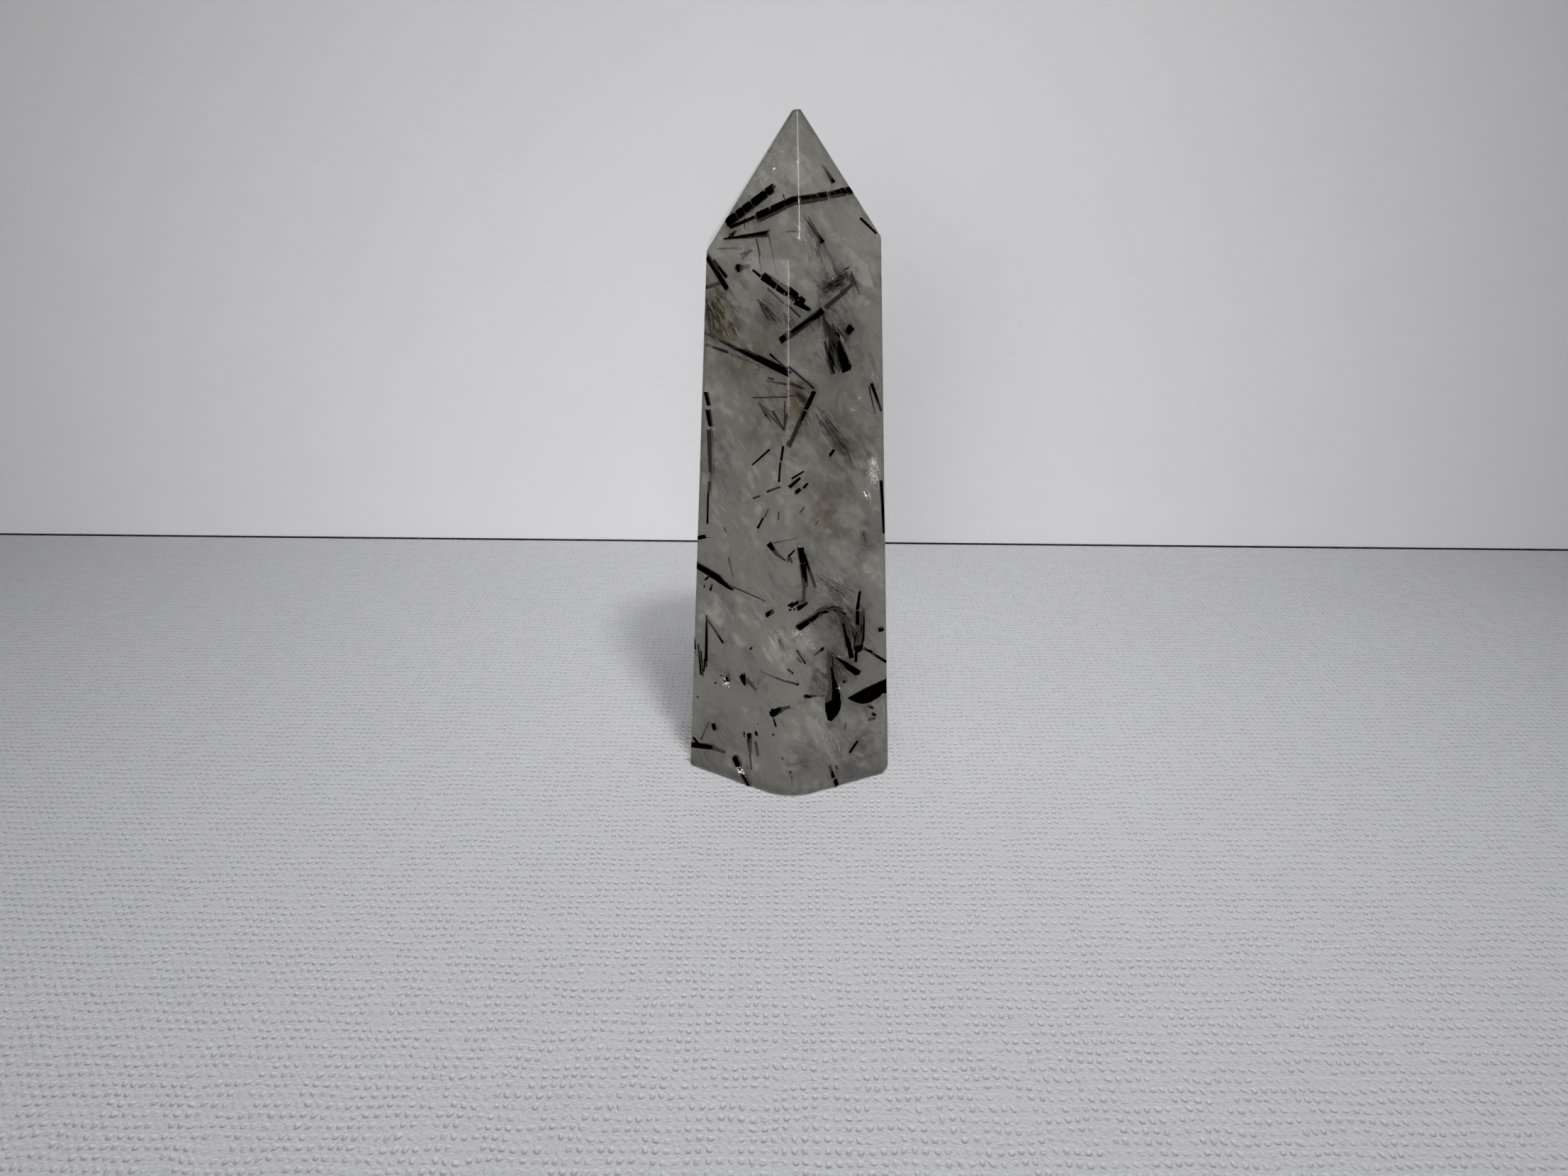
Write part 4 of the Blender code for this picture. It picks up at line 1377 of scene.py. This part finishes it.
# The stage
stageForm = {
    "halfWidth": 1.2,
    "front": -1.0,
    "back": 0.0909,
    "turn": -0.74,            # degrees that the card is turned, its right side towards the camera
    "joinDepth": 0.0040,      # the dark gap under the wall's card, at the back of the floor's
    "joinWidth": 0.0080,
    "joinRise": 0.00032,
    "joinStep": 0.00040,
    "height": 0.9,
    "floorColours": ((0.61, 0.61, 0.628), (0.62, 0.62, 0.638)),
    "wallColours": ((0.655, 0.655, 0.665), (0.665, 0.665, 0.675)),
    "wallFrom": (0.0001, 0.0003),       # the height at which the floor's tone turns into the wall's
    "plainFrom": 0.0004,      # the wall has no grain from this height
    "unevenScale": 60.0,
    "weave": (1000.0, 790.0),    # dents of the embossed grain per metre, across and deep
    "missed": 420.0,          # patches where the grain is pressed less
    "missedFrom": (0.36, 0.58, 0.22),   # where such a patch starts and ends, and how much is left in it
    "dentFrom": (0.15, 0.95),    # how wide a dent is, and how soft its rim
    "waveCount": 3.2,         # bands that the wave texture makes for each unit of its scale
    "weaveWander": 3.8,
    "weaveDepth": 0.00016,
    "fibre": 2600.0,          # finer tooth of the card
    "tooth": 0.75,            # its height against the dents'
}


def cardMaterial():
    # pale card with a fine canvas grain pressed into it
    form = stageForm
    made, tree, shader = newMaterial("paleCard")
    place = ownPlace(tree)
    apart = putNode(tree, "ShaderNodeSeparateXYZ")
    tree.links.new(place, apart.inputs["Vector"])
    wall = rangeOf(tree, apart.outputs["Z"], *form["wallFrom"], 0.0, 1.0)
    uneven = useGroup(tree, clouds, place, Scale=form["unevenScale"])
    tones = [mixColours(tree, uneven, *form[key]) for key in ("floorColours", "wallColours")]
    tree.links.new(mixColours(tree, wall, *tones), shader.inputs["Base Color"])
    threads = []
    for way, closeness in zip(("X", "Y"), form["weave"]):
        thread = putNode(
            tree, "ShaderNodeTexWave", wave_type="BANDS", bands_direction=way, Detail=2.0,
            Scale=closeness / form["waveCount"], Distortion=form["weaveWander"], **{"Detail Scale": 0.9},
        )
        tree.links.new(place, thread.inputs["Vector"])
        threads.append(thread.outputs["Fac"])
    dents = rangeOf(tree, mathOf(tree, "MULTIPLY", *threads), *form["dentFrom"], 0.0, 1.0)
    missed = rangeOf(tree, useGroup(tree, relief, place, Scale=form["missed"]), *form["missedFrom"], 1.0)
    pressed = mathOf(tree, "MULTIPLY", dents, missed)
    tooth = useGroup(tree, relief, place, Scale=form["fibre"])
    rough = mathOf(tree, "MULTIPLY_ADD", tooth, form["tooth"], pressed)
    flat = rangeOf(tree, apart.outputs["Z"], 0.0, form["plainFrom"], 1.0, 0.0)
    grain = mathOf(tree, "MULTIPLY", rough, flat)
    tree.links.new(bumpOf(tree, grain, form["weaveDepth"], invert=True), shader.inputs["Normal"])
    shader.inputs["Roughness"].default_value = 0.85
    shader.inputs["Specular IOR Level"].default_value = 0.25
    return made


def buildFloor():
    # one sheet: the floor, the dark gap at its back, and the wall that stands over the gap
    mesh = bmesh.new()
    wide, front = stageForm["halfWidth"], stageForm["front"]
    corners = [mesh.verts.new((side, front, 0.0)) for side in (-wide, wide)]
    edge = mesh.edges.new(corners)
    steps = (
        (0.0, stageForm["back"] - front, 0.0),
        (0.0, 0.0, -stageForm["joinDepth"]),
        (0.0, stageForm["joinWidth"], 0.0),
        (0.0, 0.0, stageForm["joinDepth"] + stageForm["joinRise"]),
        (0.0, stageForm["joinStep"] - stageForm["joinWidth"], 0.0),
        (0.0, 0.0, stageForm["height"]),
    )
    for step in steps:
        grown = bmesh.ops.extrude_edge_only(mesh, edges=[edge])["geom"]
        moved = [part for part in grown if isinstance(part, bmesh.types.BMVert)]
        edge = next(part for part in grown if isinstance(part, bmesh.types.BMEdge)
                    and all(corner in moved for corner in part.verts))
        bmesh.ops.translate(mesh, vec=step, verts=moved)
    turned = Matrix.Rotation(math.radians(stageForm["turn"]), 3, "Z")
    bmesh.ops.rotate(mesh, cent=(0.0, stageForm["back"], 0.0), matrix=turned, verts=mesh.verts)
    bmesh.ops.recalc_face_normals(mesh, faces=mesh.faces)
    floor = newObject("paleFloor", mesh)
    floor.data.materials.append(cardMaterial())
    return floor


buildFloor()

# lamps: where each hangs and what it looks at in metres, then its size, power and spread in degrees
lightPlan = {
    "key": ((0.082, -0.200, 0.385), (0.0, 0.04, 0.0), 0.050, 0.086, 60.0),
    "high": ((0.120, -0.250, 0.720), (0.03, 0.00, 0.0), 0.240, 0.046, 34.0),
    "fill": ((-0.28, -0.26, 0.12), (0.0, 0.0, 0.03), 0.30, 0.158, 140.0),
    "front": ((-0.08, -0.46, 0.10), (0.0, 0.0, 0.00), 0.34, 0.208, 58.0),
}
skyStrength = 0.13
blackPoint = 0.014           # the photograph's blacks are deep
lightBounces = {
    "max_bounces": 24,
    "transmission_bounces": 16,
    "transparent_max_bounces": 24,
    "volume_bounces": 8,
    "diffuse_bounces": 4,
}


def addLights():
    for name, (hangs, aims, size, watts, spread) in lightPlan.items():
        lamp = bpy.data.lights.new(name, "AREA")
        lamp.shape = "DISK"
        lamp.size = size
        lamp.energy = watts
        lamp.spread = math.radians(spread)
        holder = bpy.data.objects.new(name, lamp)
        scene.collection.objects.link(holder)
        holder.location = hangs
        holder.rotation_euler = (Vector(aims) - Vector(hangs)).to_track_quat("-Z", "Y").to_euler()
    sky = bpy.data.worlds.new("studio")
    sky.use_nodes = True
    sky.node_tree.nodes["Background"].inputs["Color"].default_value = (1.0, 1.0, 1.0, 1.0)
    sky.node_tree.nodes["Background"].inputs["Strength"].default_value = skyStrength
    scene.world = sky


def addCamera():
    lens = bpy.data.cameras.new("portrait")
    lens.lens = photoView["lens"]
    lens.sensor_width = photoView["sensor"]
    lens.clip_start = 0.01
    holder = bpy.data.objects.new("portrait", lens)
    scene.collection.objects.link(holder)
    holder.matrix_world = cameraPose()
    scene.camera = holder


addLights()
addCamera()
print("stage: floor, lamps and camera ready")
scene.view_settings.view_transform = "Standard"
scene.view_settings.use_curve_mapping = True
scene.view_settings.curve_mapping.black_level = (blackPoint, blackPoint, blackPoint)
scene.view_settings.curve_mapping.update()
for kind, most in lightBounces.items():
    setattr(scene.cycles, kind, most)
